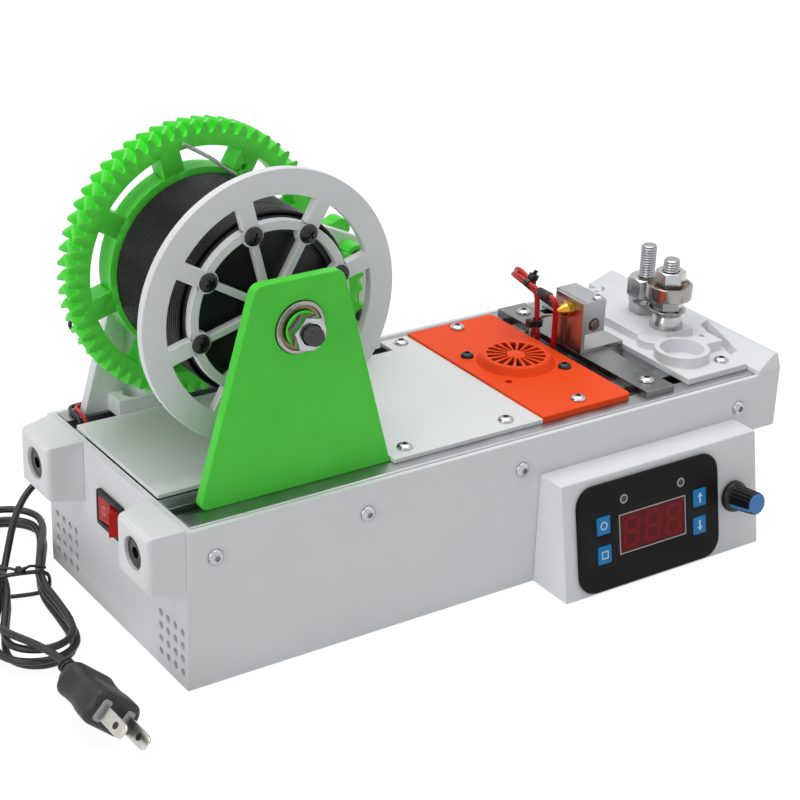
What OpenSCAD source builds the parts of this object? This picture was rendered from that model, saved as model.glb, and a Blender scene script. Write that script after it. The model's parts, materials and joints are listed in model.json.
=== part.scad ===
// Desk machine that pulls a cut strip of bottle plastic through a heated nozzle
// and winds the filament on a geared spool. Millimetres, X along the length,
// Y from the front to the back, Z up, origin at the middle of the underside.

/* [Housing] */
// Length of the machine from the end wall to the raised end cap
body_l = 312.6; // [300:1:340]
// Width of the machine over both long walls
body_w = 125.4; // [120:1:150]
// Height of the long walls
wall_h = 71.8; // [68:0.5:80]
// Thickness of the long walls
wall_t = 2.4; // [2:0.1:2.5]
// Thickness of the end wall that carries the vents
end_wall_t = 3.5; // [3:0.1:4]
// Thickness of the floor
floor_t = 3; // [2:0.5:4]
// Length of the raised end beyond the deep tray
raised_l = 26.6; // [24:0.2:30]
// Length of the solid cap at the raised end
cap_l = 13.4; // [12:0.2:14]
// Height of the ridge along the end cap
ridge_z = 79.8; // [78:0.2:84]
// Diameter of a vent hole
vent_d = 3.3; // [2:0.1:4.5]
// Distance between vent holes
vent_pitch = 6.1; // [5.5:0.1:6.5]

/* [Rails] */
// Side of the square slotted rail
rail_s = 28; // [28:0.5:30]
// Width of a rail's slot at its mouth
slot_w = 8.2; // [8:0.1:8.6]
// Width of a rail's slot behind its lips
slot_in_w = 13; // [12.6:0.1:13.4]
// Thickness of the lips of a slot
slot_lip = 1.8; // [1.4:0.1:2]
// Depth of a slot
slot_depth = 8.6; // [8:0.1:9]

/* [Top plates] */
// Thickness of the pale cover
cover_t = 2; // [1.5:0.1:2.5]
// Thickness of the fan plate
fan_plate_t = 3; // [2.5:0.1:4]
// Thickness of the hotend bar
bar_t = 3; // [2.5:0.1:4]
// Width of the hotend bar
bar_w = 16.2; // [14:0.1:17]
// Thickness of the end platform
platform_t = 3; // [2.5:0.1:4]
// Height of the raised deck on the end platform
deck_t = 3.9; // [3:0.1:5]

/* [Spool] */
// Height of the spool's axis over the underside
spool_z = 141.9; // [140:0.2:150]
// Radius of the front flange
flange_r = 57.7; // [55:0.2:62]
// Thickness of the front flange
flange_t = 4; // [3:0.1:5]
// Module of the spool gear and its pinion
gear_module = 2; // [2:0.05:2.1]
// Number of teeth of the spool gear
gear_teeth = 58; // [56:1:60]
// Number of teeth of the pinion
pinion_teeth = 14; // [13:1:15]
// Face width of the spool gear
gear_w = 10.5; // [9:0.1:11]
// Outer radius of the spool's core
core_r = 37.2; // [36.6:0.1:37.4]
// Distance between the spool's gear and the rear bearing
spool_end = 9; // [8:0.5:11]
// Diameter of the filament
filament_d = 1.75; // [1.6:0.05:1.8]

/* [Brackets] */
// Thickness of a bracket's plate
bracket_t = 5; // [4:0.1:5.2]
// Height of the brackets' top over the underside
bracket_top = 162.5; // [160:0.5:168]

/* [Control box] */
// Length of the control box
box_l = 112.6; // [108:0.2:113]
// Height of the control box
box_h = 53.4; // [52:0.2:56]
// Depth of the control box at its top
box_top_d = 14.8; // [14:0.2:17]
// Depth of the control box at its foot
box_foot_d = 24.5; // [22:0.2:26]
// Wall of the control box
box_t = 2.4; // [2:0.1:3]

/* [Cord] */
// Diameter of the mains cord
cord_d = 3.2; // [3:0.1:3.3]

/* [Hidden] */
$fn = 48;

// Overrun of a cut past the face it opens
cut = 1;
// Gap between two pieces that are screwed or pressed together
seat = 0.1;
// Radial clearance of a shaft that turns in its bore
run_fit = 0.05;
// Steps along a rounded corner of an outline
corner_steps = 6;

// Colours of the printed, metal and plastic pieces
white = [0.90, 0.91, 0.92];
pale = [0.84, 0.87, 0.88];
green = [0.26, 0.71, 0.23];
orange = [1.0, 0.33, 0.12];
steel = [0.72, 0.72, 0.73];
alloy = [0.62, 0.63, 0.64];
black = [0.10, 0.10, 0.11];
brass = [0.79, 0.63, 0.26];
red = [0.75, 0.07, 0.09];
blue = [0.12, 0.52, 0.82];

function unit(v) = v / norm(v);
// Points of the arc that rounds corner b of an outline between a and c
function corner_arc(a, b, c, r) =
  r == 0 ? [b] :
  let (
    u = unit(a - b),
    v = unit(c - b),
    half = acos(u * v) / 2,
    centre = b + unit(u + v) * r / sin(half),
    from = b + u * r / tan(half) - centre,
    to = b + v * r / tan(half) - centre,
    start = atan2(from.y, from.x),
    raw = atan2(to.y, to.x) - start,
    sweep = raw > 180 ? raw - 360 : raw < -180 ? raw + 360 : raw
  )
  [for (k = [0:corner_steps]) centre + r * [cos(start + sweep * k / corner_steps),
    sin(start + sweep * k / corner_steps)]];
// Outline with each corner rounded by its own radius
function rounded(pts, radii) =
  let (n = len(pts))
  [for (i = [0:n - 1]) each corner_arc(pts[(i + n - 1) % n], pts[i], pts[(i + 1) % n], radii[i])];
function even(n, r) = [for (i = [1:n]) r];
// Outline of a rectangle with rounded corners about the origin
function round_box(w, h, r) =
  rounded([[-w / 2, -h / 2], [w / 2, -h / 2], [w / 2, h / 2], [-w / 2, h / 2]], even(4, r));

// Moves a piece from the corner of the housing to the part's own origin
module placed() translate([-body_l / 2, -body_w / 2, 0]) children();
// Stands an outline of X and Z up as a slab from y to y + t
module upright(y, t) translate([0, y + t, 0]) rotate([90, 0, 0]) linear_extrude(t) children();
// Extrudes an outline of Y and Z along X
module lengthwise(x, l) translate([x, 0, 0]) rotate([90, 0, 90]) linear_extrude(l) children();
// Cylinder along Y from y to y + l, placed over the point x, z
module rod_y(x, y, z, r, l) translate([x, y + l, z]) rotate([90, 0, 0]) cylinder(l, r, r);
// Cylinder along X from x to x + l
module rod_x(x, y, z, r, l) translate([x, y, z]) rotate([0, 90, 0]) cylinder(l, r, r);

// Ring of points round one station of a swept tube
function station(p, u, v, r, sides) =
  [for (k = [0:sides - 1]) p + r * (cos(360 * k / sides) * u + sin(360 * k / sides) * v)];
function tangent(pts, i) =
  unit(pts[min(i + 1, len(pts) - 1)] - pts[max(i - 1, 0)]);
// Side directions carried along the tube without twisting
function carried(pts, i, u) =
  let (t = tangent(pts, i), s = u - (u * t) * t)
  i == len(pts) - 1 ? [unit(s)] : concat([unit(s)], carried(pts, i + 1, unit(s)));
// Closed tube swept along a route
module tube(pts, r, sides, side) {
  n = len(pts);
  us = carried(pts, 0, side);
  rings = [for (i = [0:n - 1]) each
    station(pts[i], us[i], cross(tangent(pts, i), us[i]), r, sides)];
  walls = [for (i = [0:n - 2]) for (k = [0:sides - 1])
    let (a = i * sides + k, b = i * sides + (k + 1) % sides)
    each [[a, a + sides, b + sides], [a, b + sides, b]]];
  last = (n - 1) * sides;
  caps = [for (k = [1:sides - 2]) each [[0, k, k + 1], [last, last + k + 1, last + k]]];
  polyhedron(rings, concat(caps, walls));
}

// Places that several pieces share
tray_l = body_l - raised_l;
mid_y = body_w / 2;
rail_gap = 0.2;
rail_proud = 0.3;
rail_top = wall_h + rail_proud;
rail_z = rail_top - rail_s / 2;
rail_front_y = wall_t + rail_gap + rail_s / 2;
rail_rear_y = body_w - rail_front_y;
band_z = rail_top - rail_s - seat;
cap_x = body_l - cap_l;
rail_x = end_wall_t + seat;
rail_l = cap_x - rail_x - seat;
nut_seat = rail_top - slot_lip - seat;

// Screws with a dome head, standing along Z with the head's seat at zero
screw_r = 2;
screw_head_r = 3.5;
screw_head_h = 2;
screw_socket_r = 1.3;
screw_socket_d = 1.1;
screw_hole_r = 2.15;
screw_l = 8.5;
screw_room = 0.7;
dome_share = 0.62;
module screw(r, head_r, head_h, l, socket_r, socket_d) {
  difference() {
    union() {
      cylinder(head_h, head_r, head_r * dome_share);
      translate([0, 0, -l]) cylinder(l, r, r);
    }
    translate([0, 0, head_h - socket_d]) cylinder(socket_d + cut, socket_r, socket_r, $fn = 6);
  }
}
module plate_screw() screw(screw_r, screw_head_r, screw_head_h, screw_l, screw_socket_r, screw_socket_d);
module hex_nut(flats, h, bore_r) {
  difference() {
    cylinder(h, flats / sqrt(3), flats / sqrt(3), $fn = 6);
    translate([0, 0, -cut]) cylinder(h + 2 * cut, bore_r, bore_r);
  }
}
nut_w = 12.4;
nut_l = 10;
nut_t = 3.2;
// Block nut that slides in a rail's slot, with its face at zero and its block moved by dy
module slot_nut(dy) {
  translate([0, 0, -nut_t]) difference() {
    translate([-nut_l / 2, dy - nut_w / 2, 0]) cube([nut_l, nut_w, nut_t]);
    translate([0, 0, -cut]) cylinder(nut_t + 2 * cut, screw_r + seat / 2, screw_r + seat / 2);
  }
}

// Vents, end blocks and wall screws
vent_n = 4;
vent_back = 25.1;
vent_y = [4.2, body_w - vent_back];
vent_z = 7.1;
block_back = 35.9;
block_y = [0, body_w - block_back];
block_l = 17;
block_top = 73.3;
block_low = 49;
block_foot = 45.4;
block_face_w = 25.2;
block_root_w = 31.7;
block_round = 2.5;
block_bolt_y = 12.5;
block_bolt_z = 62;
block_bore_r = 7;
block_floor = 6;
bolt_r = 4;
bolt_head_r = 6.5;
bolt_head_h = 7;
bolt_socket_r = 3.4;
bolt_socket_d = 4;
wall_screw_end = 11;
wall_screw_x = [12.8, 83.8, 163.1, cap_x - wall_screw_end];
ledge_l = 9;
ledge_t = 3;
cap_low = 74;
cap_edge = 2.2;
cap_slope_y = 2.5;
cap_face_z = 73.4;
slit_l = 30;
slit_w = 3.4;
slit_deep = 8;
slit_x = 6;
slit_y = 20;
slit_turn = -13;
switch_side = 0.8;
switch_y = mid_y + switch_side;
switch_z = 50.5;
switch_w = 20;
switch_h = 14.6;
gland_x = 17;
gland_z = 34;
gland_r = 4;

module housing() {
  side = [[0, 0], [tray_l, 0], [tray_l, band_z], [body_l, band_z], [body_l, wall_h], [0, wall_h]];
  color(white) placed() difference() {
    union() {
      upright(0, wall_t) polygon(side);
      upright(body_w - wall_t, wall_t) polygon(side);
      cube([end_wall_t, body_w, wall_h]);
      cube([tray_l, body_w, floor_t]);
      translate([tray_l - end_wall_t, 0, 0]) cube([end_wall_t, body_w, band_z]);
      for (y = [rail_front_y, rail_rear_y])
        translate([0, y - rail_s / 2, band_z - ledge_t]) cube([end_wall_t + ledge_l, rail_s, ledge_t]);
      intersection() {
        upright(0, body_w) polygon([[cap_x, band_z], [body_l, band_z], [body_l, ridge_z],
          [body_l - cap_edge, ridge_z], [cap_x, cap_low]]);
        lengthwise(cap_x, cap_l) polygon([[0, band_z], [0, cap_face_z], [cap_slope_y, ridge_z],
          [body_w - cap_slope_y, ridge_z], [body_w, cap_face_z], [body_w, band_z]]);
      }
    }
    for (y = vent_y) for (i = [0:vent_n - 1]) for (k = [0:vent_n - 1])
      rod_x(-cut, y + i * vent_pitch, vent_z + k * vent_pitch, vent_d / 2, end_wall_t + 2 * cut);
    for (y = block_y)
      rod_x(-cut, y + block_bolt_y, block_bolt_z, bolt_r + run_fit, end_wall_t + 2 * cut);
    for (x = wall_screw_x) {
      rod_y(x, -cut, rail_z, screw_hole_r, wall_t + 2 * cut);
      rod_y(x, body_w - wall_t - cut, rail_z, screw_hole_r, wall_t + 2 * cut);
    }
    translate([-cut, switch_y - switch_w / 2 - seat, switch_z - switch_h / 2 - seat])
      cube([end_wall_t + 2 * cut, switch_w + 2 * seat, switch_h + 2 * seat]);
    rod_y(gland_x, body_w - wall_t - cut, gland_z, gland_r + seat, wall_t + 2 * cut);
    translate([cap_x + slit_x, slit_y + slit_l / 2, ridge_z - slit_deep]) rotate([0, 0, slit_turn])
      translate([-slit_w / 2, -slit_l / 2, 0]) cube([slit_w, slit_l, slit_deep + cut]);
  }
}

rail_round = 1.5;
rail_bore_r = 3.4;
slot_floor_w = 6;
module rail(y) {
  lip_y = rail_s / 2 - slot_lip;
  color(alloy) placed() translate([0, y, rail_z]) lengthwise(rail_x, rail_l) difference() {
    polygon(round_box(rail_s, rail_s, rail_round));
    for (turn = [0:90:270]) rotate(turn) {
      translate([-slot_w / 2, lip_y - slot_lip]) square([slot_w, 2 * slot_lip + cut]);
      polygon([[-slot_in_w / 2, lip_y], [slot_in_w / 2, lip_y], [slot_in_w / 2, lip_y - nut_t],
        [slot_floor_w / 2, rail_s / 2 - slot_depth], [-slot_floor_w / 2, rail_s / 2 - slot_depth],
        [-slot_in_w / 2, lip_y - nut_t]]);
    }
    circle(rail_bore_r);
  }
}
module front_rail() rail(rail_front_y);
module rear_rail() rail(rail_rear_y);

module end_blocks() {
  color(white) placed() for (y = block_y) translate([0, y, 0]) difference() {
    intersection() {
      linear_extrude(block_top) polygon(rounded([[0, 0], [0, block_root_w],
        [-block_l, block_face_w], [-block_l, 0]], [0, 0, block_round, block_round]));
      upright(0, block_root_w) polygon(rounded([[0, block_foot], [0, block_top],
        [-block_l, block_top], [-block_l, block_low]], [0, 0, block_round, block_round]));
    }
    rod_x(-block_l - cut, block_bolt_y, block_bolt_z, block_bore_r, block_l - block_floor + cut);
    rod_x(-block_l, block_bolt_y, block_bolt_z, bolt_r + run_fit, block_l + cut);
  }
}
module side_screws() {
  color(black) placed() for (y = block_y)
    translate([-block_floor, y + block_bolt_y, block_bolt_z]) rotate([0, -90, 0]) difference() {
      union() {
        cylinder(bolt_head_h, bolt_head_r, bolt_head_r);
        translate([0, 0, -block_floor - end_wall_t + seat])
          cylinder(block_floor + end_wall_t, bolt_r, bolt_r);
      }
      translate([0, 0, bolt_head_h - bolt_socket_d])
        cylinder(bolt_socket_d + cut, bolt_socket_r, bolt_socket_r, $fn = 6);
    }
  color(steel) placed() for (x = wall_screw_x) {
    translate([x, 0, rail_z]) rotate([90, 0, 0]) plate_screw();
    translate([x, body_w, rail_z]) rotate([-90, 0, 0]) plate_screw();
  }
}

// Plates over the rails, with the places of their screws
joint_gap = 0.2;
plate_back = 10.4;
plate_y = [9.2, body_w - plate_back];
platform_l = 35.8;
platform_end = cap_x - 2 * joint_gap;
platform_x = platform_end - platform_l;
bar_lead = 61.8;
bar_x = platform_end - bar_lead;
bar_margin = 6.6;
bar_y = [bar_margin, body_w - bar_margin];
fan_plate_l = 49.6;
fan_plate_lead = 56.4;
fan_plate_x = bar_x - fan_plate_lead;
cover_x = 3.8;
cover_notch_x = 102.7;
cover_notch_y = 30.2;
rear_notch_l = 15.6;
rear_notch_x = fan_plate_x - rear_notch_l;
rear_notch_back = 21.6;
rear_notch_y = body_w - rear_notch_back;
cover_screw_l = [15.1, 7.6];
cover_screws = [[112.6, rail_front_y], [fan_plate_x - cover_screw_l[0], rail_front_y],
  [fan_plate_x - cover_screw_l[1], rail_rear_y]];
fan_plate_screws = [for (y = [rail_front_y, rail_rear_y]) [fan_plate_x + fan_plate_l / 2, y]];
bar_screws = [[bar_x + bar_w / 2, rail_front_y], [bar_x + bar_w / 2, rail_rear_y]];
platform_screw_l = 8.4;
platform_screws = [for (y = [rail_front_y, rail_rear_y]) [platform_end - platform_screw_l, y]];
module screw_holes(spots)
  for (p = spots) translate([p.x, p.y, -cut]) cylinder(body_l, screw_hole_r, screw_hole_r);

module rail_nuts() {
  color(steel) placed() {
    for (p = concat(cover_screws, fan_plate_screws, bar_screws, platform_screws))
      translate([p.x, p.y, nut_seat]) slot_nut(0);
    for (p = foot_screws) translate([p.x, p.y, nut_seat]) slot_nut(-foot_shift);
    for (x = wall_screw_x) {
      translate([x, rail_front_y - rail_s / 2 + slot_lip + seat, rail_z]) rotate([90, 0, 0]) slot_nut(0);
      translate([x, rail_rear_y + rail_s / 2 - slot_lip - seat, rail_z]) rotate([-90, 0, 0]) slot_nut(0);
    }
  }
}
module cover_plate() {
  right = fan_plate_x - joint_gap;
  color(pale) placed() difference() {
    translate([0, 0, rail_top]) linear_extrude(cover_t) polygon([[cover_x, cover_notch_y],
      [cover_notch_x, cover_notch_y], [cover_notch_x, plate_y[0]], [right, plate_y[0]],
      [right, plate_y[1]], [rear_notch_x, plate_y[1]], [rear_notch_x, rear_notch_y],
      [cover_x, rear_notch_y]]);
    screw_holes(cover_screws);
  }
}

// Fan plate with its domed grille over the fan
fan_lead = 25.1;
fan_x = fan_plate_x + fan_lead;
fan_aside = 0.3;
fan_y = mid_y + fan_aside;
fan_side = 40;
fan_t = 10;
fan_hole_half = 16;
dome_r = 18.3;
dome_top_r = 15.9;
dome_h = 3.9;
dome_skin = 1.6;
dome_wall = 1.5;
grille_n = 18;
grille_in_r = 4.6;
grille_out_r = 13.6;
grille_in_w = 0.9;
grille_out_w = 3;
fan_plate_round = 2.5;
module fan_plate() {
  top = rail_top + fan_plate_t;
  color(orange) placed() difference() {
    union() {
      translate([fan_plate_x, plate_y[0], rail_top]) linear_extrude(fan_plate_t)
        polygon(rounded([[0, 0], [fan_plate_l, 0], [fan_plate_l, plate_y[1] - plate_y[0]],
          [0, plate_y[1] - plate_y[0]]], [0, fan_plate_round, fan_plate_round, 0]));
      translate([fan_x, fan_y, top]) cylinder(dome_h, dome_r, dome_top_r);
    }
    translate([fan_x, fan_y, rail_top - cut])
      cylinder(fan_plate_t + dome_h - dome_skin + cut, dome_r - dome_wall, dome_top_r - dome_wall);
    for (k = [0:grille_n - 1]) translate([fan_x, fan_y, top]) rotate(360 * k / grille_n)
      linear_extrude(dome_h + cut) polygon([[grille_in_r, -grille_in_w / 2],
        [grille_out_r, -grille_out_w / 2], [grille_out_r, grille_out_w / 2], [grille_in_r, grille_in_w / 2]]);
    for (sx = [-1, 1]) for (sy = [-1, 1])
      translate([fan_x + sx * fan_hole_half, fan_y + sy * fan_hole_half, rail_top - cut])
        cylinder(fan_plate_t + 2 * cut, fan_screw_r + seat, fan_screw_r + seat);
    screw_holes(fan_plate_screws);
  }
}
fan_screw_r = 1.5;
fan_screw_head_r = 3.1;
fan_screw_head_h = 2.2;
fan_screw_l = 12.5;
module fan_screws() {
  color(black) placed() for (s = [[-1, 1], [1, -1]])
    translate([fan_x + s.x * fan_hole_half, fan_y + s.y * fan_hole_half, rail_top + fan_plate_t])
      screw(fan_screw_r, fan_screw_head_r, fan_screw_head_h, fan_screw_l, screw_socket_r, screw_socket_d);
}
fan_bore_r = 19;
fan_round = 3;
fan_hub_r = 11.5;
fan_base_t = 1.5;
fan_tube_r = 3;
fan_tube_h = 4.5;
fan_shaft_r = 1;
fan_strut_w = 2.5;
fan_strut_n = 4;
module fan_frame() {
  color(black) placed() translate([fan_x, fan_y, rail_top - seat - fan_t]) {
    difference() {
      linear_extrude(fan_t) polygon(round_box(fan_side, fan_side, fan_round));
      translate([0, 0, -cut]) cylinder(fan_t + 2 * cut, fan_bore_r, fan_bore_r);
      for (sx = [-1, 1]) for (sy = [-1, 1])
        translate([sx * fan_hole_half, sy * fan_hole_half, -cut])
          cylinder(fan_t + 2 * cut, fan_screw_r + seat, fan_screw_r + seat);
    }
    difference() {
      union() {
        cylinder(fan_base_t, fan_hub_r, fan_hub_r);
        cylinder(fan_base_t + fan_tube_h, fan_tube_r, fan_tube_r);
        for (k = [0:fan_strut_n - 1]) rotate(360 * k / fan_strut_n)
          translate([0, -fan_strut_w / 2, 0]) cube([fan_bore_r + seat, fan_strut_w, fan_base_t]);
      }
      translate([0, 0, fan_base_t]) cylinder(fan_t, fan_shaft_r + run_fit, fan_shaft_r + run_fit);
    }
  }
}
impeller_r = 18.2;
impeller_hub_r = 12;
impeller_wall = 1;
impeller_h = 7;
impeller_gap = 0.6;
blade_n = 7;
blade_t = 0.9;
blade_w = 6.4;
blade_turn = 50;
module fan_impeller() {
  low = rail_top - seat - fan_t + fan_base_t + impeller_gap;
  color(black) placed() translate([fan_x, fan_y, low]) {
    difference() {
      cylinder(impeller_h, impeller_hub_r, impeller_hub_r);
      translate([0, 0, -cut]) cylinder(impeller_h - impeller_wall + cut, impeller_hub_r - impeller_wall,
        impeller_hub_r - impeller_wall);
    }
    cylinder(impeller_h, fan_shaft_r, fan_shaft_r);
    intersection() {
      cylinder(impeller_h, impeller_r, impeller_r);
      for (k = [0:blade_n - 1]) rotate(360 * k / blade_n)
        translate([impeller_hub_r - impeller_wall / 2, 0, impeller_h / 2]) rotate([blade_turn, 0, 0])
          translate([0, -blade_t / 2, -blade_w / 2]) cube([impeller_r, blade_t, blade_w]);
    }
  }
}
module plate_screws() {
  color(steel) placed() {
    for (p = cover_screws) translate([p.x, p.y, rail_top + cover_t]) plate_screw();
    for (p = fan_plate_screws) translate([p.x, p.y, rail_top + fan_plate_t]) plate_screw();
    for (p = bar_screws) translate([p.x, p.y, rail_top + bar_t]) plate_screw();
    for (p = platform_screws) translate([p.x, p.y, rail_top + platform_t]) plate_screw();
  }
}

// Hotend on its bar
module hotend_bar() {
  color(alloy) placed() difference() {
    translate([bar_x, bar_y[0], rail_top]) cube([bar_w, bar_y[1] - bar_y[0], bar_t]);
    screw_holes(bar_screws);
  }
}
sheet_t = 2;
sheet_w = 20.6;
sheet_h = 25.2;
melt_side = 1.3;
melt_y = mid_y + melt_side;
sheet_lead = 9.4;
sheet_y = melt_y - sheet_lead;
sheet_foot_l = 25.6;
sheet_slit_w = 0.8;
sheet_slit_h = 13.5;
melt_z = 95.2;
nozzle_r = 3;
nozzle_flats = 7;
nozzle_hex_h = 3.2;
nozzle_cone_h = 4.8;
nozzle_cone_r = 3.2;
nozzle_tip_r = 0.7;
nozzle_bore_r = 0.9;
melt_slot_r = 2;
module hotend_bracket() {
  color(steel) placed() translate([bar_x, sheet_y, rail_top + bar_t]) difference() {
    union() {
      cube([sheet_t, sheet_w, sheet_h]);
      cube([sheet_foot_l, sheet_w, sheet_t]);
    }
    translate([-cut, sheet_w * 0.61, sheet_t]) cube([sheet_t + 2 * cut, sheet_slit_w, sheet_slit_h]);
    rod_x(-cut, melt_y - sheet_y, melt_z - rail_top - bar_t, nozzle_r + seat, sheet_t + 2 * cut);
  }
}
heater_l = 11.5;
heater_w = 23;
heater_h = 16;
heater_z = 84.5;
cartridge_r = 3;
cartridge_x = 5.2;
cartridge_z = 4.1;
cartridge_l = 24;
clamp_hole_y = 2.2;
clamp_hole_r = 1.5;
module heater_block() {
  x = bar_x + sheet_t;
  color(alloy) placed() translate([x, sheet_y + sheet_slit_w / 4, heater_z]) difference() {
    cube([heater_l, heater_w, heater_h]);
    rod_x(-cut, melt_y - sheet_y - sheet_slit_w / 4, melt_z - heater_z, nozzle_r + seat / 2,
      heater_l + 2 * cut);
    rod_y(cartridge_x, -cut, cartridge_z, cartridge_r + seat / 2, heater_w + 2 * cut);
    translate([heater_l * 0.7, clamp_hole_y, heater_h * 0.5]) cylinder(heater_h, clamp_hole_r, clamp_hole_r);
  }
}
module nozzle() {
  color(brass) placed() translate([bar_x, melt_y, melt_z]) rotate([0, -90, 0]) difference() {
    union() {
      translate([0, 0, -sheet_t - heater_l * 0.6]) cylinder(sheet_t + heater_l * 0.6, nozzle_r, nozzle_r);
      cylinder(nozzle_hex_h, nozzle_flats / sqrt(3), nozzle_flats / sqrt(3), $fn = 6);
      translate([0, 0, nozzle_hex_h]) cylinder(nozzle_cone_h, nozzle_cone_r, nozzle_tip_r);
    }
    translate([0, 0, -heater_l * 2]) cylinder(heater_l * 4, nozzle_bore_r / 2, nozzle_bore_r / 2);
    translate([0, 0, -heater_l * 2]) cylinder(heater_l * 2, melt_slot_r, melt_slot_r);
  }
}
module heater_cartridge() {
  color(steel) placed() rod_y(bar_x + sheet_t + cartridge_x, sheet_y - seat, heater_z + cartridge_z,
    cartridge_r, cartridge_l);
}
heater_wire_r = 1.3;
heater_route = [[5.8, 14.5, 16.5], [5.8, 18, 16.5], [5, 23, 17.5], [2.5, 28, 19.9],
  [-0.5, 33, 23.4], [-3, 36.5, 26.1], [-5.1, 37.6, 27.9], [-6.4, 35, 28.9], [-6.4, 31, 28.9],
  [-6, 26, 28.1], [-5.2, 22, 26.9], [-4.6, 20, 26.1], [-4.4, 14, 25.9], [-4.4, 9.5, 25.9],
  [-4.2, 7, 24.5], [-3.6, 6.4, 20.9], [-3.2, 6.8, 13.9], [-3, 7, 2.9], [-3, 7, -12.1]];
return_route = [[8.8, 14.5, 16.5], [8.8, 18, 16.5], [8, 23, 16.9], [5.5, 28.5, 18.9],
  [2.5, 34, 21.4], [0.4, 38, 23.7], [-0.8, 40.4, 26.3], [-1.8, 39.8, 28.9], [-2.8, 36.5, 30.1],
  [-3.4, 32, 29.7], [-3.3, 28, 28.1], [-3, 24.5, 25.5], [-2.6, 22.4, 21.9], [-2.6, 21.4, 15.9],
  [-3, 20.5, 8.9], [-3.4, 19, 2.9], [-3.5, 18.8, -12.1]];
sleeve = [-4.4, 9.8, 25.9];
sleeve_l = 9;
sleeve_r = 2.1;
module at_hotend() placed() translate([bar_x, melt_y, rail_top]) children();
module heater_wires() {
  color(red) at_hotend() {
    tube(heater_route, heater_wire_r, 6, [1, 0, 0]);
    tube(return_route, heater_wire_r, 6, [1, 0, 0]);
  }
  color(black) at_hotend() rod_y(sleeve.x, sleeve.y, sleeve.z, sleeve_r, sleeve_l);
}
tie_w = 3.4;
tie_t = 1;
tie_top = [-4.5, 24.4, 26.9];
tie_top_w = 6.2;
tie_top_h = 6.6;
tie_low_r = 1.85;
tie_low = [-3, 20.4, 7.3];
tie_head_w = 4.4;
tie_head_h = 3;
module wire_ties() {
  color(black) at_hotend() {
    translate([tie_top.x, 0, tie_top.z]) {
      upright(tie_top.y, tie_w) difference() {
        polygon(round_box(tie_top_w + 2 * tie_t, tie_top_h + 2 * tie_t, 2 * tie_t));
        polygon(round_box(tie_top_w, tie_top_h, tie_t));
      }
      translate([-tie_head_w / 2, tie_top.y - seat, tie_top_h / 2 + tie_t / 2])
        cube([tie_head_w, tie_head_w, tie_head_h]);
    }
    translate(tie_low) difference() {
      union() {
        cylinder(tie_w, tie_low_r + tie_t, tie_low_r + tie_t);
        translate([-tie_head_h - tie_low_r, -tie_head_w / 2, 0])
          cube([tie_head_h, tie_head_w, tie_head_w]);
      }
      translate([0, 0, -cut]) cylinder(tie_w + 2 * cut, tie_low_r, tie_low_r);
    }
  }
}

// End platform with its cup and the two bolts of the strip cutter
platform_margin = 8;
platform_y = [platform_margin, body_w - platform_margin];
deck_l = 28.5;
deck_x = platform_end - deck_l;
deck_lead = 16.7;
deck_back = 15.4;
deck_y = [mid_y - deck_lead, body_w - deck_back];
deck_round = 4;
boss_off = [24.8, 15.7];
boss_at = [platform_end, mid_y] - boss_off;
boss_r = 7;
cup_lead = 22.4;
cup_y = 28.6;
cup_at = [platform_end - cup_lead, cup_y];
cup_r = 10.3;
cup_wall = 2.6;
cup_rim = 80.2;
tab_lead = 4.6;
tab_y = 34.9;
tab_at = [platform_end - tab_lead, tab_y];
tab_root = 26;
tab_end = 36.6;
tab_t = 2.4;
tab_hole_r = 1.25;
m8_r = 4;
m8_hole_r = 4.1;
m8_flats = 13;
m8_head_h = 5.3;
cutter_off = [-9.6, -7.8];
guide_off = [-6.5, 12.3];
cutter_at = [platform_end, mid_y] + cutter_off;
guide_at = [platform_end, mid_y] + guide_off;
bolt_top = 113;
dome_base_r = 8;
dome_base_h = 6.2;
module end_platform() {
  color(white) placed() difference() {
    union() {
      translate([platform_x, platform_y[0], rail_top])
        cube([platform_end - platform_x, platform_y[1] - platform_y[0], platform_t]);
      translate([0, 0, rail_top]) linear_extrude(platform_t + deck_t) union() {
        polygon(rounded([[deck_x, deck_y[0]], [platform_end, deck_y[0]], [platform_end, deck_y[1]],
          [deck_x, deck_y[1]]], [0, 0, 0, deck_round]));
        translate(boss_at) circle(boss_r);
      }
      translate([cup_at.x, cup_at.y, rail_top])
        cylinder(cup_rim - rail_top, cup_r + cup_wall, cup_r + cup_wall);
      translate([cup_at.x, tab_root, cup_rim - tab_t])
        cube([body_l - cap_l + seat - cup_at.x, tab_end - tab_root, tab_t]);
      translate([cup_at.x, tab_root, rail_top]) cube([platform_end - cup_at.x, tab_t, cup_rim - rail_top]);
    }
    translate([cup_at.x, cup_at.y, rail_top + platform_t / 2]) cylinder(cup_rim, cup_r, cup_r);
    translate([tab_at.x, tab_at.y, rail_top + platform_t]) cylinder(cup_rim, tab_hole_r, tab_hole_r);
    for (p = [cutter_at, guide_at]) translate([p.x, p.y, 0]) cylinder(body_l, m8_hole_r, m8_hole_r);
    screw_holes(platform_screws);
    for (p = platform_screws) translate([p.x, p.y, rail_top + platform_t])
      cylinder(deck_t + cut, screw_head_r + screw_room, screw_head_r + screw_room);
  }
}
// Hexagon bolt that stands on its head under the platform
module standing_bolt(p, top) {
  translate([p.x, p.y, rail_top - m8_head_h]) {
    rotate(30) cylinder(m8_head_h, m8_flats / sqrt(3), m8_flats / sqrt(3), $fn = 6);
    cylinder(top - rail_top + m8_head_h, m8_r, m8_r);
  }
}
module cutter_bolt() color(steel) placed() standing_bolt(cutter_at, bolt_top);

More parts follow.
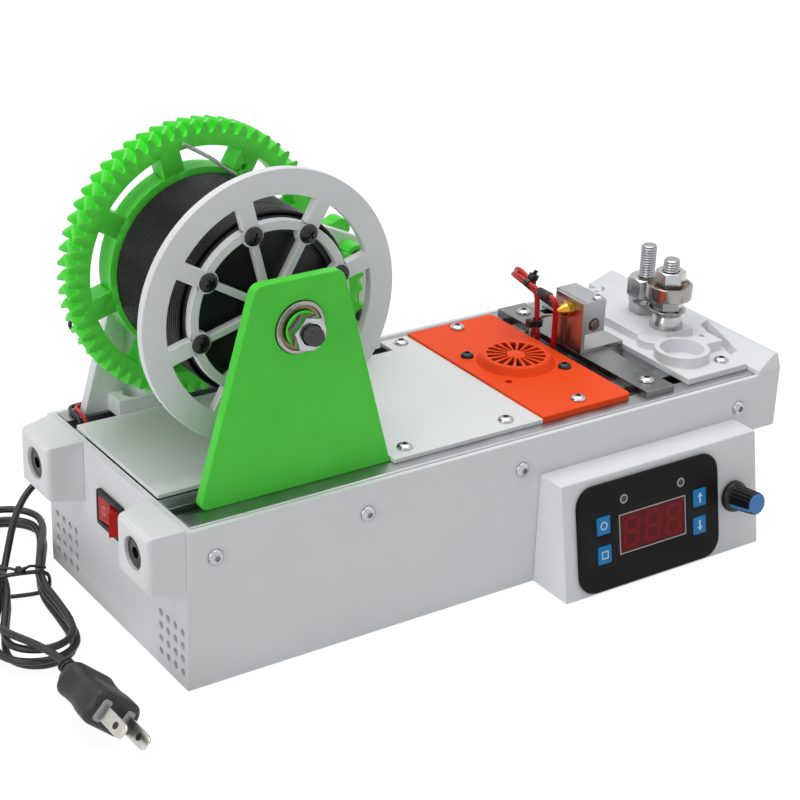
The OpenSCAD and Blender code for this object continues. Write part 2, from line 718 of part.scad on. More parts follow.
// Stack on the cutter bolt from the deck up, then the stack on the guide bolt
deck_z = rail_top + platform_t + deck_t;
spring_h = 2;
spring_r = 7;
blade_h = 1;
blade_r = 8.8;
cutter_nut_h = 5.7;
bearing_w = 7;
bearing_z = deck_z + dome_base_h + spring_h + blade_h + cutter_nut_h;
cutter_top_nut_h = 6.5;
guide_nut_h = 5.6;
guide_washer_h = 2.4;
guide_washer_r = 8;
guide_top_flats = 15.6;
guide_top_h = 10;
thread_gap = 0.1;
module guide_bolt() color(steel) placed() standing_bolt(guide_at, bolt_top);
module ring(z, h, out_r, in_r) {
  translate([0, 0, z]) difference() {
    cylinder(h, out_r, out_r);
    translate([0, 0, -cut]) cylinder(h + 2 * cut, in_r, in_r);
  }
}
module bolt_nuts() {
  bore = m8_r + thread_gap;
  color(steel) placed() {
    translate([cutter_at.x, cutter_at.y, 0]) {
      ring(deck_z, dome_base_h, dome_base_r, bore);
      ring(deck_z + dome_base_h, spring_h, spring_r, bore);
      ring(deck_z + dome_base_h + spring_h, blade_h, blade_r, bore);
      translate([0, 0, bearing_z - cutter_nut_h]) hex_nut(m8_flats, cutter_nut_h, bore);
      translate([0, 0, bearing_z + bearing_w]) hex_nut(m8_flats, cutter_top_nut_h, bore);
    }
    translate([guide_at.x, guide_at.y, deck_z]) {
      hex_nut(m8_flats, guide_nut_h, bore);
      ring(guide_nut_h, guide_washer_h, guide_washer_r, bore);
      translate([0, 0, guide_nut_h + guide_washer_h]) hex_nut(guide_top_flats, guide_top_h, bore);
    }
  }
}

// Ball bearing as a core that its shaft carries and a ring that its seat holds
bearing_out_r = 11;
bearing_split = 6;
bearing_play = 0.15;
module bearing_core(r) ring(0, bearing_w, bearing_split, r);
module bearing_ring()
  ring(bearing_play, bearing_w - 2 * bearing_play, bearing_out_r, bearing_split + run_fit);
module cutter_bearing_inner() {
  color(steel) placed() translate([cutter_at.x, cutter_at.y, bearing_z]) bearing_core(m8_r + thread_gap);
}
module cutter_bearing_outer() {
  color(steel) placed() translate([cutter_at.x, cutter_at.y, bearing_z]) bearing_ring();
}

// Brackets of the spool
spool_x = 57.4;
front_plate_y = 11.8;
rear_plate_back = 11.4;
rear_plate_y = body_w - rear_plate_back;
bracket_round = 5;
bracket_corner = 3;
bracket_left = 12.3;
bracket_right = 102.4;
bracket_shoulder = [37.25, 77.15];
foot_shift = 1.2;
foot_h = 8;
foot_l = 20;
foot_x = [26, 68];
rear_foot_x = [24, 128];
foot_w = 10;
foot_floor = 3;
foot_bore_r = 4.6;
foot_bore_h = 40;
foot_screws = [for (x = foot_x) [x + foot_l / 2, rail_front_y + foot_shift],
  for (x = rear_foot_x) [x + foot_l / 2, rail_rear_y + foot_shift]];
slope_low = [160, 125.5];
slope_mid = [131.2, 138.2];
mesh_turn = -20.3;
mesh_r = gear_module * (gear_teeth + pinion_teeth) / 2 + run_fit;
motor_x = spool_x + mesh_r * cos(mesh_turn);
motor_z = spool_z + mesh_r * sin(mesh_turn);
motor_boss_r = 6;
motor_hole_r = 6.3;
module bracket_feet(xs, y) {
  for (x = xs) translate([x, y, rail_top]) cube([foot_l, foot_w, foot_h]);
}
module foot_cuts(xs, y) {
  for (x = xs) {
    translate([x + foot_l / 2, y, rail_top + foot_floor]) cylinder(foot_bore_h, foot_bore_r, foot_bore_r);
    translate([x + foot_l / 2, y, rail_top - cut]) cylinder(foot_h, screw_hole_r, screw_hole_r);
  }
}
module front_bracket() {
  color(green) placed() difference() {
    union() {
      upright(front_plate_y, bracket_t) polygon(rounded([[bracket_left, rail_top], [bracket_right, rail_top],
        [bracket_shoulder[1], bracket_top], [bracket_shoulder[0], bracket_top]],
        [bracket_corner, 0, bracket_round, bracket_round]));
      bracket_feet(foot_x, front_plate_y + bracket_t - seat);
    }
    rod_y(spool_x, front_plate_y - cut, spool_z, bearing_out_r + seat, bracket_t + 2 * cut);
    foot_cuts(foot_x, rail_front_y + foot_shift);
  }
}
module rear_bracket() {
  color(white) placed() difference() {
    union() {
      upright(rear_plate_y, bracket_t) polygon(rounded([[bracket_left, rail_top], [slope_low.x, rail_top],
        slope_low, slope_mid, [bracket_shoulder[1], bracket_top], [bracket_shoulder[0], bracket_top]],
        [0, 0, bracket_round, 0, 0, bracket_round]));
      bracket_feet(rear_foot_x, rear_plate_y - foot_w + seat);
    }
    rod_y(spool_x, rear_plate_y - cut, spool_z, bearing_out_r + seat, bracket_t + 2 * cut);
    rod_y(motor_x, rear_plate_y - cut, motor_z, motor_hole_r, bracket_t + 2 * cut);
    for (p = ear_spots) rod_y(p.x, rear_plate_y - cut, p.y, ear_bolt_r + seat, bracket_t + 2 * cut);
    foot_cuts(rear_foot_x, rail_rear_y + foot_shift);
  }
}
module bracket_screws() {
  color(steel) placed() for (p = foot_screws)
    translate([p.x, p.y, rail_top + foot_floor])
      screw(screw_r, screw_head_r, screw_head_h, screw_l, screw_socket_r, screw_socket_d);
  color(black) placed() for (p = ear_spots) {
    translate([p.x, ear_front_y, p.y]) rotate([90, 0, 0])
      screw(ear_bolt_r, ear_head_r, ear_head_h, ear_back_y + ear_nut_h - ear_front_y, screw_socket_r,
        screw_socket_d);
    translate([p.x, ear_back_y + ear_nut_h, p.y]) rotate([90, 0, 0])
      hex_nut(ear_nut_flats, ear_nut_h, ear_bolt_r - seat);
  }
}
bearing_out = 1;
bearing_y = [front_plate_y - bearing_out, rear_plate_y - bearing_out];
module along_y(y) translate([spool_x, y, spool_z]) rotate([-90, 0, 0]) children();
module bearing_rings() color(steel) placed() for (y = bearing_y) along_y(y) bearing_ring();
module bearing_cores() color(steel) placed() for (y = bearing_y) along_y(y) bearing_core(m8_r + thread_gap);
axle_front = 1;
axle_back = 6.6;
axle_y = [-axle_front, body_w + axle_back];
axle_nut_h = 6.5;
collar_l = 1.3;
collar_r = 7.4;
flange_y = 33.5;
gear_y = bearing_y[1] - spool_end - gear_w;
spool_gap = gear_y - flange_y - flange_t;
module spool_axle() {
  color(steel) placed() {
    rod_y(spool_x, axle_y[0], spool_z, m8_r, axle_y[1] - axle_y[0]);
    along_y(bearing_y[0] - collar_l - axle_nut_h) hex_nut(m8_flats, axle_nut_h, m8_r - seat);
    along_y(bearing_y[1] + bearing_w) hex_nut(m8_flats, axle_nut_h, m8_r - seat);
  }
}
spacer_r = 5.6;
module spool_spacers() {
  color(green) placed() along_y(bearing_y[0] - collar_l) ring(0, collar_l, collar_r, m8_r + thread_gap);
  color(black) placed() {
    along_y(bearing_y[0] + bearing_w)
      ring(0, flange_y - bearing_y[0] - bearing_w, spacer_r, m8_r + thread_gap);
    along_y(gear_y + gear_w) ring(0, bearing_y[1] - gear_y - gear_w, spacer_r, m8_r + thread_gap);
  }
}

// Spool with its wheels turned about the axle, first spoke at 15 degrees
spoke_n = 8;
spoke_turn = 15;
window_in_r = 36.7;
window_out_r = 47;
flange_spoke_w = 7;
hub_ring_in_r = 30.5;
boss_ring_r = 33.1;
flange_boss_r = 4.7;
flange_ring_in_r = 32.8;
flange_rib_w = 3;
hub_r = 10;
flange_screw_r = 1.45;
flange_screw_l = 14;
flange_head_r = 4;
flange_head_h = 2.1;
module wheel_ribs(w, out_r, in_r) {
  for (k = [0:spoke_n - 1]) rotate(spoke_turn + 360 * k / spoke_n)
    translate([in_r, -w / 2]) square([out_r - in_r, w]);
}
module spool_flange() {
  color(white) placed() difference() {
    along_y(flange_y) mirror([0, 1, 0]) linear_extrude(flange_t) difference() {
      union() {
        difference() {
          circle(flange_r, $fn = 96);
          circle(window_out_r, $fn = 96);
        }
        difference() {
          circle(window_in_r, $fn = 96);
          circle(flange_ring_in_r, $fn = 96);
        }
        wheel_ribs(flange_spoke_w, window_out_r + seat, window_in_r - seat);
        wheel_ribs(flange_rib_w, flange_ring_in_r + seat, hub_r / 2);
        for (k = [0:spoke_n - 1]) rotate(spoke_turn + 360 * k / spoke_n)
          translate([boss_ring_r, 0]) circle(flange_boss_r);
        circle(hub_r);
      }
      circle(m8_hole_r);
    }
    for (p = flange_holes) rod_y(p.x, flange_y - cut, p.y, flange_screw_r + seat, flange_t + 2 * cut);
  }
}
flange_holes = [for (k = [0:spoke_n - 1]) let (a = spoke_turn + 360 * k / spoke_n)
  [spool_x + boss_ring_r * cos(a), spool_z + boss_ring_r * sin(a)]];
module flange_screws() {
  color(black) placed() for (p = flange_holes) translate([p.x, flange_y, p.y]) rotate([90, 0, 0])
    screw(flange_screw_r, flange_head_r, flange_head_h, flange_screw_l, screw_socket_r, screw_socket_d);
}
core_web_back = 3;
core_web_t = 3;
module spool_core() {
  color(black) placed() difference() {
    along_y(flange_y + flange_t) union() {
      ring(0, spool_gap, core_r, hub_ring_in_r, $fn = 96);
      ring(core_web_back, core_web_t, hub_ring_in_r + seat, m8_hole_r);
    }
    for (p = flange_holes)
      rod_y(p.x, flange_y, p.y, flange_screw_r + seat, flange_screw_l + seat);
  }
}
winding_turns = 24;
winding_rings = 24;
winding_margin = 1.25;
function winding_point(k) =
  let (t = k / winding_rings, r = (core_r + filament_d / 2 + run_fit) / cos(180 / winding_rings),
    y = flange_y + flange_t + winding_margin + (spool_gap - 2 * winding_margin) * t / winding_turns)
  [spool_x + r * cos(360 * t), y, spool_z + r * sin(360 * t)];
module filament_winding() {
  color(black) placed()
    tube([for (k = [0:winding_turns * winding_rings]) winding_point(k)], filament_d / 2, 6, [0, 1, 0]);
}
tail_polar = [[40.3, 70], [42, 75], [46, 83], [50, 91], [53, 98]];
module filament_tail() {
  y = gear_y - filament_d / 2 - seat;
  color(blue) placed()
    tube([for (p = tail_polar) [spool_x + p[0] * cos(p[1]), y, spool_z + p[0] * sin(p[1])]],
      filament_d / 2, 8, [0, 1, 0]);
}

// Involute teeth cut as points of an outline, with a little play at the flanks
press_turn = 20;
tooth_play = 0.16;
gear_apex = -4.4;
root_share = 1.25;
tooth_slices = 2;
function involute(a) = tan(a) * 180 / PI - a;
function half_tooth(n, r) =
  90 / n + involute(press_turn) - involute(acos(min(1, n * gear_module * cos(press_turn) / 2 / r)))
  - tooth_play / 2 / r * 180 / PI;
function tooth_outline(n) =
  let (mid = n * gear_module / 2, low = mid - root_share * gear_module, high = mid + gear_module)
  [for (k = [0:n - 1]) for (e = [[low, -1], [mid, -1], [high, -1], [high, 1], [mid, 1], [low, 1]])
    let (a = 360 * k / n + e[1] * half_tooth(n, e[0])) e[0] * [cos(a), sin(a)]];
// Ring of teeth over a height h, whose middle is turned by the apex angle, as one closed form
module teeth(n, h, apex, bore) {
  edge = tooth_outline(n);
  m = len(edge);
  rows = 2 * tooth_slices;
  turns = [for (k = [0:rows]) apex * (1 - abs(1 - k / tooth_slices))];
  function turned(p, a, z) = [p.x * cos(a) - p.y * sin(a), p.x * sin(a) + p.y * cos(a), z];
  outside = [for (k = [0:rows]) for (p = edge) turned(p, turns[k], h * k / rows)];
  inside = [for (z = [0, h]) for (p = edge) bore * [p.x, p.y, 0] / norm(p) + [0, 0, z]];
  low = len(outside);
  walls = [for (k = [0:rows - 1]) for (i = [0:m - 1]) let (a = k * m + i, b = k * m + (i + 1) % m)
    each [[a, a + m, b + m], [a, b + m, b]]];
  rest = [for (i = [0:m - 1]) let (j = (i + 1) % m, top = rows * m)
    each [[i, j, low + j], [i, low + j, low + i], [top + i, low + m + j, top + j],
      [top + i, low + m + i, low + m + j], [low + i, low + j, low + m + j],
      [low + i, low + m + j, low + m + i]]];
  polyhedron(concat(outside, inside), concat(walls, rest));
}
rim_in_r = 50;
gear_spoke_w = 9.5;
gear_ring_out_r = 41;
gear_rib_w = 4;
gear_hub_r = 11;
tail_hole_r = 1.35;
tail_hole_at = 43.6;
module spool_gear() {
  color(green) placed() along_y(gear_y) mirror([0, 1, 0]) {
    teeth(gear_teeth, gear_w, gear_apex, rim_in_r + gear_module);
    difference() {
      linear_extrude(gear_w) difference() {
        union() {
          difference() {
            circle(rim_in_r + 1.5 * gear_module, $fn = 96);
            circle(rim_in_r, $fn = 96);
          }
          difference() {
            circle(gear_ring_out_r, $fn = 96);
            circle(hub_ring_in_r, $fn = 96);
          }
          wheel_ribs(gear_spoke_w, rim_in_r + seat, gear_ring_out_r - seat);
          wheel_ribs(gear_rib_w, hub_ring_in_r + seat, gear_hub_r / 2);
          circle(gear_hub_r);
        }
        circle(m8_hole_r);
      }
      rotate(spoke_turn + 360 / spoke_n) translate([tail_hole_at, 0, -cut])
        cylinder(gear_w + 2 * cut, tail_hole_r, tail_hole_r);
    }
  }
}
pinion_hub_r = 9;
pinion_hub_l = 8;
shaft_r = 3;
shaft_back = 5.6;
shaft_end_y = body_w + shaft_back;
tooth_pitch = 360 / gear_teeth;
mesh_off = mesh_turn - tooth_pitch * round(mesh_turn / tooth_pitch);
// Turns the pinion so that a gap faces the gear's nearest tooth
pinion_phase = mesh_turn + 180 + (mesh_off * gear_teeth + 180) / pinion_teeth;
pinion_bore_r = shaft_r + run_fit;
module pinion() {
  color(green) placed() translate([motor_x, gear_y, motor_z]) rotate([-90, 0, 0]) mirror([0, 1, 0])
    rotate(pinion_phase) difference() {
      union() {
        teeth(pinion_teeth, gear_w, -gear_apex * gear_teeth / pinion_teeth, pinion_hub_r - gear_module / 2);
        cylinder(gear_w + pinion_hub_l, pinion_hub_r, pinion_hub_r);
      }
      translate([0, 0, -cut]) cylinder(gear_w + pinion_hub_l + 2 * cut, pinion_bore_r, pinion_bore_r);
    }
  color(steel) placed() rod_y(motor_x, gear_y + seat, motor_z, shaft_r, shaft_end_y - gear_y - seat);
}

// Gear motor behind the rear bracket
gearbox_l = 46;
gearbox_h = 32;
gearbox_lead = 31.5;
gearbox_x = motor_x - gearbox_lead;
gearbox_z = motor_z - gearbox_h / 2;
gearbox_d = 25;
motor_back_y = rear_plate_y + bracket_t;
can_r = 12.2;
can_l = 31.4;
can_x = gearbox_x - can_l;
can_y = 12.5;
can_cap_l = 2;
can_cap_r = 5;
module gear_motor() {
  color(alloy) placed() difference() {
    union() {
      translate([gearbox_x, motor_back_y, gearbox_z]) cube([gearbox_l, gearbox_d, gearbox_h]);
      rod_y(motor_x, rear_plate_y + seat, motor_z, motor_boss_r, bracket_t);
      rod_x(can_x, motor_back_y + can_y, motor_z, can_r, gearbox_x - can_x + seat);
      rod_x(can_x - can_cap_l, motor_back_y + can_y, motor_z, can_cap_r, can_cap_l + seat);
    }
    rod_y(motor_x, rear_plate_y - cut, motor_z, pinion_bore_r, shaft_end_y - rear_plate_y + 2 * cut);
  }
}
ear_r = 5;
ear_bolt_r = 1.5;
ear_head_r = 2.8;
ear_head_h = 1.6;
ear_nut_flats = 5.5;
ear_nut_h = 2.4;
ear_offs = [[22.43, -22.1], [19.23, 7.5]];
ear_spots = [for (p = ear_offs) [motor_x, motor_z] + p];
clamp_l = 8.8;
clamp_w = 7;
cradle_l = 8;
cradle_wall = 3;
cradle_gap = 0.2;
clamp_y = rear_plate_y - clamp_l;
ear_front_y = clamp_y;
ear_back_y = motor_back_y + cradle_l;
clamp_lead = 14.53;
clamp_x = motor_x + clamp_lead;
module motor_clamp() {
  color(green) placed() difference() {
    union() {
      upright(clamp_y, clamp_l) translate([clamp_x, ear_spots[0].y - ear_r / 2])
        square([clamp_w, ear_spots[1].y - ear_spots[0].y + ear_r]);
      for (p = ear_spots) rod_y(p.x, clamp_y, p.y, ear_r, clamp_l);
    }
    for (p = ear_spots) rod_y(p.x, clamp_y - cut, p.y, ear_bolt_r + seat, clamp_l + 2 * cut);
  }
}
tab_off = [19.53, 15.6];
tab_spot = [motor_x, motor_z] + tab_off;
module motor_cradle() {
  out = cradle_gap + cradle_wall;
  color(green) placed() difference() {
    union() {
      upright(motor_back_y, cradle_l) difference() {
        translate([gearbox_x + seat, gearbox_z - out]) square([gearbox_l + out - seat, gearbox_h + 2 * out]);
        translate([gearbox_x - cut, gearbox_z - cradle_gap])
          square([gearbox_l + cradle_gap + cut, gearbox_h + 2 * cradle_gap]);
      }
      for (p = concat(ear_spots, [tab_spot])) rod_y(p.x, motor_back_y, p.y, ear_r, cradle_l);
      translate([gearbox_x + gearbox_l + cradle_gap, motor_back_y, ear_spots[0].y - ear_r / 2])
        cube([2 * cradle_wall, cradle_l, gearbox_z - ear_spots[0].y + ear_r]);
    }
    translate([gearbox_x - cut, motor_back_y - cut, gearbox_z - cradle_gap])
      cube([gearbox_l + cradle_gap + cut, cradle_l + 2 * cut, gearbox_h + 2 * cradle_gap]);
    for (p = ear_spots) rod_y(p.x, motor_back_y - cut, p.y, ear_bolt_r + seat, cradle_l + 2 * cut);
  }
}
motor_wire_r = 0.9;
motor_wire_step = [1.9, -1.9, 0.6];
motor_route = [[60, 6.1, 118.1], [57, 6.1, 118.1], [48, 6.3, 118], [38, 6.2, 117], [29, 6, 115.2],
  [21.5, 5.8, 113], [16.6, 5.6, 110.6], [14.8, 5.4, 107.6], [17.2, 5.1, 104.8], [22, 4.7, 102.8],
  [28, 4, 100], [32.5, 3.2, 95], [34.5, 2.2, 89], [34.3, 0.4, 83], [32.6, -1.7, 78.2],
  [29, -2.5, 74.9], [24, -2.4, 73.6], [18.5, -2.4, 73.4], [13, -2.4, 73.4], [9.6, -3.4, 73.4],
  [8.4, -6.6, 73.5], [8.2, -10.6, 73.6], [8.2, -13.6, 73.3], [8.2, -15.5, 71.8], [8.2, -16.4, 69.5],
  [8.2, -16.6, 66]];
red_motor_route = [for (i = [0:len(motor_route) - 1])
  motor_route[i] + [i == 0 ? 0 : motor_wire_step.x, motor_wire_step.y, motor_wire_step.z]];
module motor_wires() {
  color(black) placed() translate([0, body_w, 0]) tube(motor_route, motor_wire_r, 6, [0, 0, 1]);
  color(red) placed() translate([0, body_w, 0])
    tube(red_motor_route, motor_wire_r, 6, [0, 0, 1]);
}

// Control box with its sloping face, whose own frame is x along the face, y up it, z out of it
box_end = 26.8;
box_x = body_l - box_end - box_l;
face_turn = atan((box_foot_d - box_top_d) / box_h);
module on_face() placed() translate([0, -box_foot_d, 0]) rotate([90 - face_turn, 0, 0]) children();
panel_lead = 6.9;
panel_rest = 31.6;
panel_w = box_l - panel_rest;
panel_y = 26.2;
panel_at = [box_x + panel_lead + panel_w / 2, panel_y];
panel_h = 49.5;
panel_round = 9;
panel_t = 1.6;
panel_lip = 5.5;
panel_body_w = panel_w - 2 * panel_lip;
panel_body_h = 38;
panel_body_d = 12;
knob_lead = 14.8;
knob_y = 26.4;
knob_at = [box_x + box_l - knob_lead, knob_y];
knob_bush_r = 3.4;
module control_box() {
  color(white) placed() difference() {
    lengthwise(box_x, box_l) polygon([[0, 0], [-box_foot_d, 0], [-box_top_d, box_h], [0, box_h]]);
    lengthwise(box_x + box_t, box_l - 2 * box_t)
      polygon([[cut, box_t], [box_t - box_foot_d + box_t * tan(face_turn), box_t],
        [box_t - box_top_d - box_t * tan(face_turn), box_h - box_t], [cut, box_h - box_t]]);
    translate([0, -box_foot_d, 0]) rotate([90 - face_turn, 0, 0]) {
      translate([panel_at.x - panel_body_w / 2 - seat, panel_at.y - panel_body_h / 2 - seat, -2 * box_t])
        cube([panel_body_w + 2 * seat, panel_body_h + 2 * seat, 2 * box_t + cut]);
      translate([knob_at.x, knob_at.y, -2 * box_t])
        cylinder(2 * box_t + cut, knob_bush_r + seat, knob_bush_r + seat);
    }
  }
}
window_share = [-0.212346, 0.249383];
window_x = [for (k = window_share) panel_at.x + k * panel_w];
window_y = [16.5, 34];
window_d = 1.5;
key_w = 7.4;
key_h = 8.3;
key_t = 1.4;
key_proud = 0.4;
key_gap = 0.5;
key_share = [-0.32716, -0.325926, 0.359259, 0.354321];
key_y = [31.9, 18.3, 31.2, 18.1];
keys = [for (k = [0:3]) [panel_at.x + key_share[k] * panel_w, key_y[k]]];
pocket_d = key_t - key_proud + key_gap;
lamp_share = [-0.180247, 0.225926];
lamp_y = [41.4, 41];
lamp_at = [for (k = [0:1]) [panel_at.x + lamp_share[k] * panel_w, lamp_y[k]]];
lamp_r = 1.4;
lamp_d = 0.4;
module controller() {
  color(black) on_face() difference() {
    union() {
      translate([panel_at.x, panel_at.y, 0]) linear_extrude(panel_t)
        polygon(round_box(panel_w, panel_h, panel_round));
      translate([panel_at.x - panel_body_w / 2, panel_at.y - panel_body_h / 2, -panel_body_d])
        cube([panel_body_w, panel_body_h, panel_body_d + seat]);
    }
    translate([window_x[0], window_y[0], panel_t - window_d])
      cube([window_x[1] - window_x[0], window_y[1] - window_y[0], window_d + cut]);
    for (p = keys) translate([p.x - key_w / 2 - run_fit, p.y - key_h / 2 - run_fit, panel_t - pocket_d])
      cube([key_w + 2 * run_fit, key_h + 2 * run_fit, pocket_d + cut]);
    for (p = lamp_at) translate([p.x, p.y, panel_t - lamp_d]) cylinder(lamp_d + cut, lamp_r, lamp_r);
  }
}
module display() {
  color(red) on_face() translate([window_x[0] + seat, window_y[0] + seat, panel_t - window_d])
    cube([window_x[1] - window_x[0] - 2 * seat, window_y[1] - window_y[0] - 2 * seat, window_d - seat]);
}
module key(p) {
  color(blue) on_face() translate([p.x - key_w / 2, p.y - key_h / 2, panel_t + key_proud - key_t])
    cube([key_w, key_h, key_t]);
}
module key_set() key(keys[0]);
module key_enter() key(keys[1]);
module key_up() key(keys[2]);
module key_down() key(keys[3]);
pot_r = 8;
pot_l = 8;
pot_bore_r = shaft_r + run_fit;
pot_shaft_l = 6;
module potentiometer() {
  color(alloy) on_face() translate([knob_at.x, knob_at.y, -box_t]) difference() {
    union() {
      translate([0, 0, -pot_l - seat]) cylinder(pot_l, pot_r, pot_r);
      translate([0, 0, -seat - cut]) cylinder(box_t + seat + cut, knob_bush_r, knob_bush_r);
    }
    translate([0, 0, -pot_shaft_l]) cylinder(pot_l + pot_shaft_l, pot_bore_r, pot_bore_r);
  }
}
knob_gap = 0.5;
knob_skirt_r = 7.3;
knob_skirt_h = 3.5;
knob_body_r = 5.6;
knob_body_h = 12;
knob_cap_r = 4.8;
knob_cap_h = 0.8;
knob_line_w = 1.2;
module knob() {
  color(black) on_face() translate([knob_at.x, knob_at.y, knob_gap]) {
    cylinder(knob_skirt_h, knob_skirt_r, knob_body_r + knob_line_w);
    translate([0, 0, knob_skirt_h]) cylinder(knob_body_h, knob_body_r, knob_body_r - knob_line_w / 2);
    translate([0, 0, -knob_gap - box_t - pot_shaft_l + seat])
      cylinder(knob_gap + box_t + pot_shaft_l, shaft_r, shaft_r);
  }
  color(blue) on_face() translate([knob_at.x, knob_at.y, knob_gap + knob_skirt_h + knob_body_h]) {
    cylinder(knob_cap_h, knob_cap_r, knob_cap_r - knob_cap_h / 2);
  }
}

// Rocker switch in the end wall
bezel_w = 23;
bezel_h = 16.4;
bezel_t = 2;
bezel_round = 1.5;
switch_l = 12;
rocker_half = 10.35;
rocker_slot_h = 12;
rocker_h = 11.6;
rocker_pin_r = 1.2;
rocker_pin_h = 0.9;
rocker_x = 1.5;
rocker_turn = -12;
rocker_hollow_x = 8.5;
rocker_side = [[-3.5, -5.5], [-3.5, 5.5], [0, 9.6], [5.5, 8.6], [2.6, 0], [5.5, -8.6], [0, -9.6]];
module switch_frame() {
  color(black) placed() translate([0, switch_y, switch_z]) difference() {
    union() {
      lengthwise(-bezel_t, bezel_t) polygon(round_box(bezel_w, bezel_h, bezel_round));
      translate([-seat, -switch_w / 2, -switch_h / 2]) cube([switch_l + seat, switch_w, switch_h]);
    }
    translate([-bezel_t - cut, -rocker_half, -rocker_slot_h / 2])
      cube([bezel_t + cut + rocker_hollow_x, 2 * rocker_half, rocker_slot_h]);
    translate([rocker_x, 0, -rocker_h / 2 - rocker_pin_h - seat])
      cylinder(rocker_h + 2 * rocker_pin_h + 2 * seat, rocker_pin_r + run_fit, rocker_pin_r + run_fit);
  }
}
module switch_rocker() {
  color(red) placed() translate([rocker_x, switch_y, switch_z - rocker_h / 2]) rotate(rocker_turn) {
    linear_extrude(rocker_h) polygon([for (p = rocker_side) [-p.x, p.y]]);
    translate([0, 0, -rocker_pin_h]) cylinder(rocker_h + 2 * rocker_pin_h, rocker_pin_r, rocker_pin_r);
  }
}

// Mains cord from the gland through the tied hank to the plug
cord_r = cord_d / 2;
gland_l = 8;
gland_flange_r = 6;
gland_flange_t = 2;
gland_neck_r = 3;
gland_nut_r = 6;
gland_nut_t = 3;
module gland_turned() placed() translate([gland_x, body_w, gland_z]) rotate([-90, 0, 0]) children();
module cord_gland() {
  color(black) gland_turned() {
    cylinder(gland_flange_t, gland_flange_r, gland_flange_r);
    translate([0, 0, gland_flange_t]) cylinder(gland_l - gland_flange_t, gland_r, gland_neck_r);
    translate([0, 0, -wall_t - gland_nut_t]) cylinder(wall_t + gland_nut_t, gland_r, gland_r);
    translate([0, 0, -wall_t - gland_nut_t]) cylinder(gland_nut_t, gland_nut_r, gland_nut_r);
  }
}
hank_x = -26;
hank_back = 24.4;
hank_at = [hank_x, body_w - hank_back];
hank_turn = 74;
hank_half = 46;
hank_r = 12;
hank_spread = 6.4;
hank_pinch = 0.45;
hank_low = 2.5;
hank_layer = 3.8;
hank_turns = 3.1;
hank_rings = 24;
run_share = 0.24;
turn_share = 0.26;
hank_start = 0.098;
// Place along the loop for a share of its length, counted from the far end of the left run
function loop_place(f, r) =
  f < run_share ? let (u = hank_half * (1 - 2 * f / run_share))
    [u, r * (1 - hank_pinch * (1 + cos(180 * u / hank_half)) / 2)] :
  f < run_share + turn_share ? let (a = 180 * (f - run_share) / turn_share)
    [-hank_half - r * sin(a), r * cos(a)] :
  f < 2 * run_share + turn_share ? let (u = hank_half * (2 * (f - run_share - turn_share) / run_share - 1))
    [u, -r * (1 - hank_pinch * (1 + cos(180 * u / hank_half)) / 2)] :
  let (a = 180 * (f - 2 * run_share - turn_share) / turn_share) [hank_half + r * sin(a), -r * cos(a)];
function held(v) = max(0, min(1, v));
function hank_point(t) =
  let (full = t + hank_start, f = full - floor(full),
    r = hank_r + hank_spread * (1 - abs(1 - t + 2 * floor(t / 2))),
    climb = held(2 * t - 1.5) + held(2 * t - 3.5), p = loop_place(f, r))
  [hank_at.x + p.x * cos(hank_turn) - p.y * sin(hank_turn),
    hank_at.y + p.x * sin(hank_turn) + p.y * cos(hank_turn),
    hank_low + hank_layer * climb];
hank_core = [for (k = [0:round(hank_turns * hank_rings)]) hank_point(k / hank_rings)];
hank_last = len(hank_core) - 1;
hank_in = hank_core[0] - cord_d * unit(hank_core[1] - hank_core[0]);
hank_out = hank_core[hank_last] + cord_d * unit(hank_core[hank_last] - hank_core[hank_last - 1]);
hank_path = concat([hank_in], hank_core, [hank_out]);
hank_gap = min([for (i = [0:len(hank_path) - 1]) for (j = [i + 3:len(hank_path) - 1])
  norm(hank_path[i] - hank_path[j])]) - cord_d;
echo(hank_gap = hank_gap, hank_in = hank_in, hank_out = hank_out,
  first = unit(hank_core[1] - hank_core[0]), last = unit(hank_out - hank_core[hank_last]));
lead_points = [[17, 11.2, 34], [15.5, 15.1, 33.4], [12, 18.4, 31.8], [6.5, 20.2, 29.8],
  [0.5, 19.2, 27.6], [-5.4, 16, 24.8], [-11, 11.8, 20.8], [-15.6, 7.4, 15.8], [-19.2, 3.4, 10.6],
  [-22.4, -0.4, 6.2], [-25.4, -4.4, 3.4]];
lead_path = concat([[gland_x, body_w + gland_l, gland_z]], [for (p = lead_points) p + [0, body_w, 0]],
  [hank_in - cord_d * unit(hank_core[1] - hank_core[0]), hank_in]);
plug_x = -41.8;
plug_z = 13.7;
plug_back = 100.3;
plug_back_y = body_w - plug_back;
tail_points = [[-50.6, -52.6, 10.4], [-51.9, -57.8, 11.6], [-52.2, -63.4, 12.9],
  [-51.4, -69.4, 13.9], [-49.8, -75.4, 14.6], [-47.5, -81.4, 14.9], [-44.9, -87.4, 14.6],
  [-42.8, -92.6, 14]];
tail_path = concat([hank_out, hank_out + cord_d * unit(hank_out - hank_core[hank_last])],
  [for (p = tail_points) p + [0, body_w, 0]],
  [[plug_x, plug_back_y + cord_d, plug_z], [plug_x, plug_back_y, plug_z]]);
module cord_lead() color(black) placed() tube(lead_path, cord_r, 8, [0, 0, 1]);
module cord_hank() color(black) placed() tube(hank_path, cord_r, 6, [0, 0, 1]);
module cord_tail() color(black) placed() tube(tail_path, cord_r, 8, [0, 0, 1]);
band_half = 13;
band_t = 0.8;
band_w = 4;
band_h = 12.8;
band_round = 2;
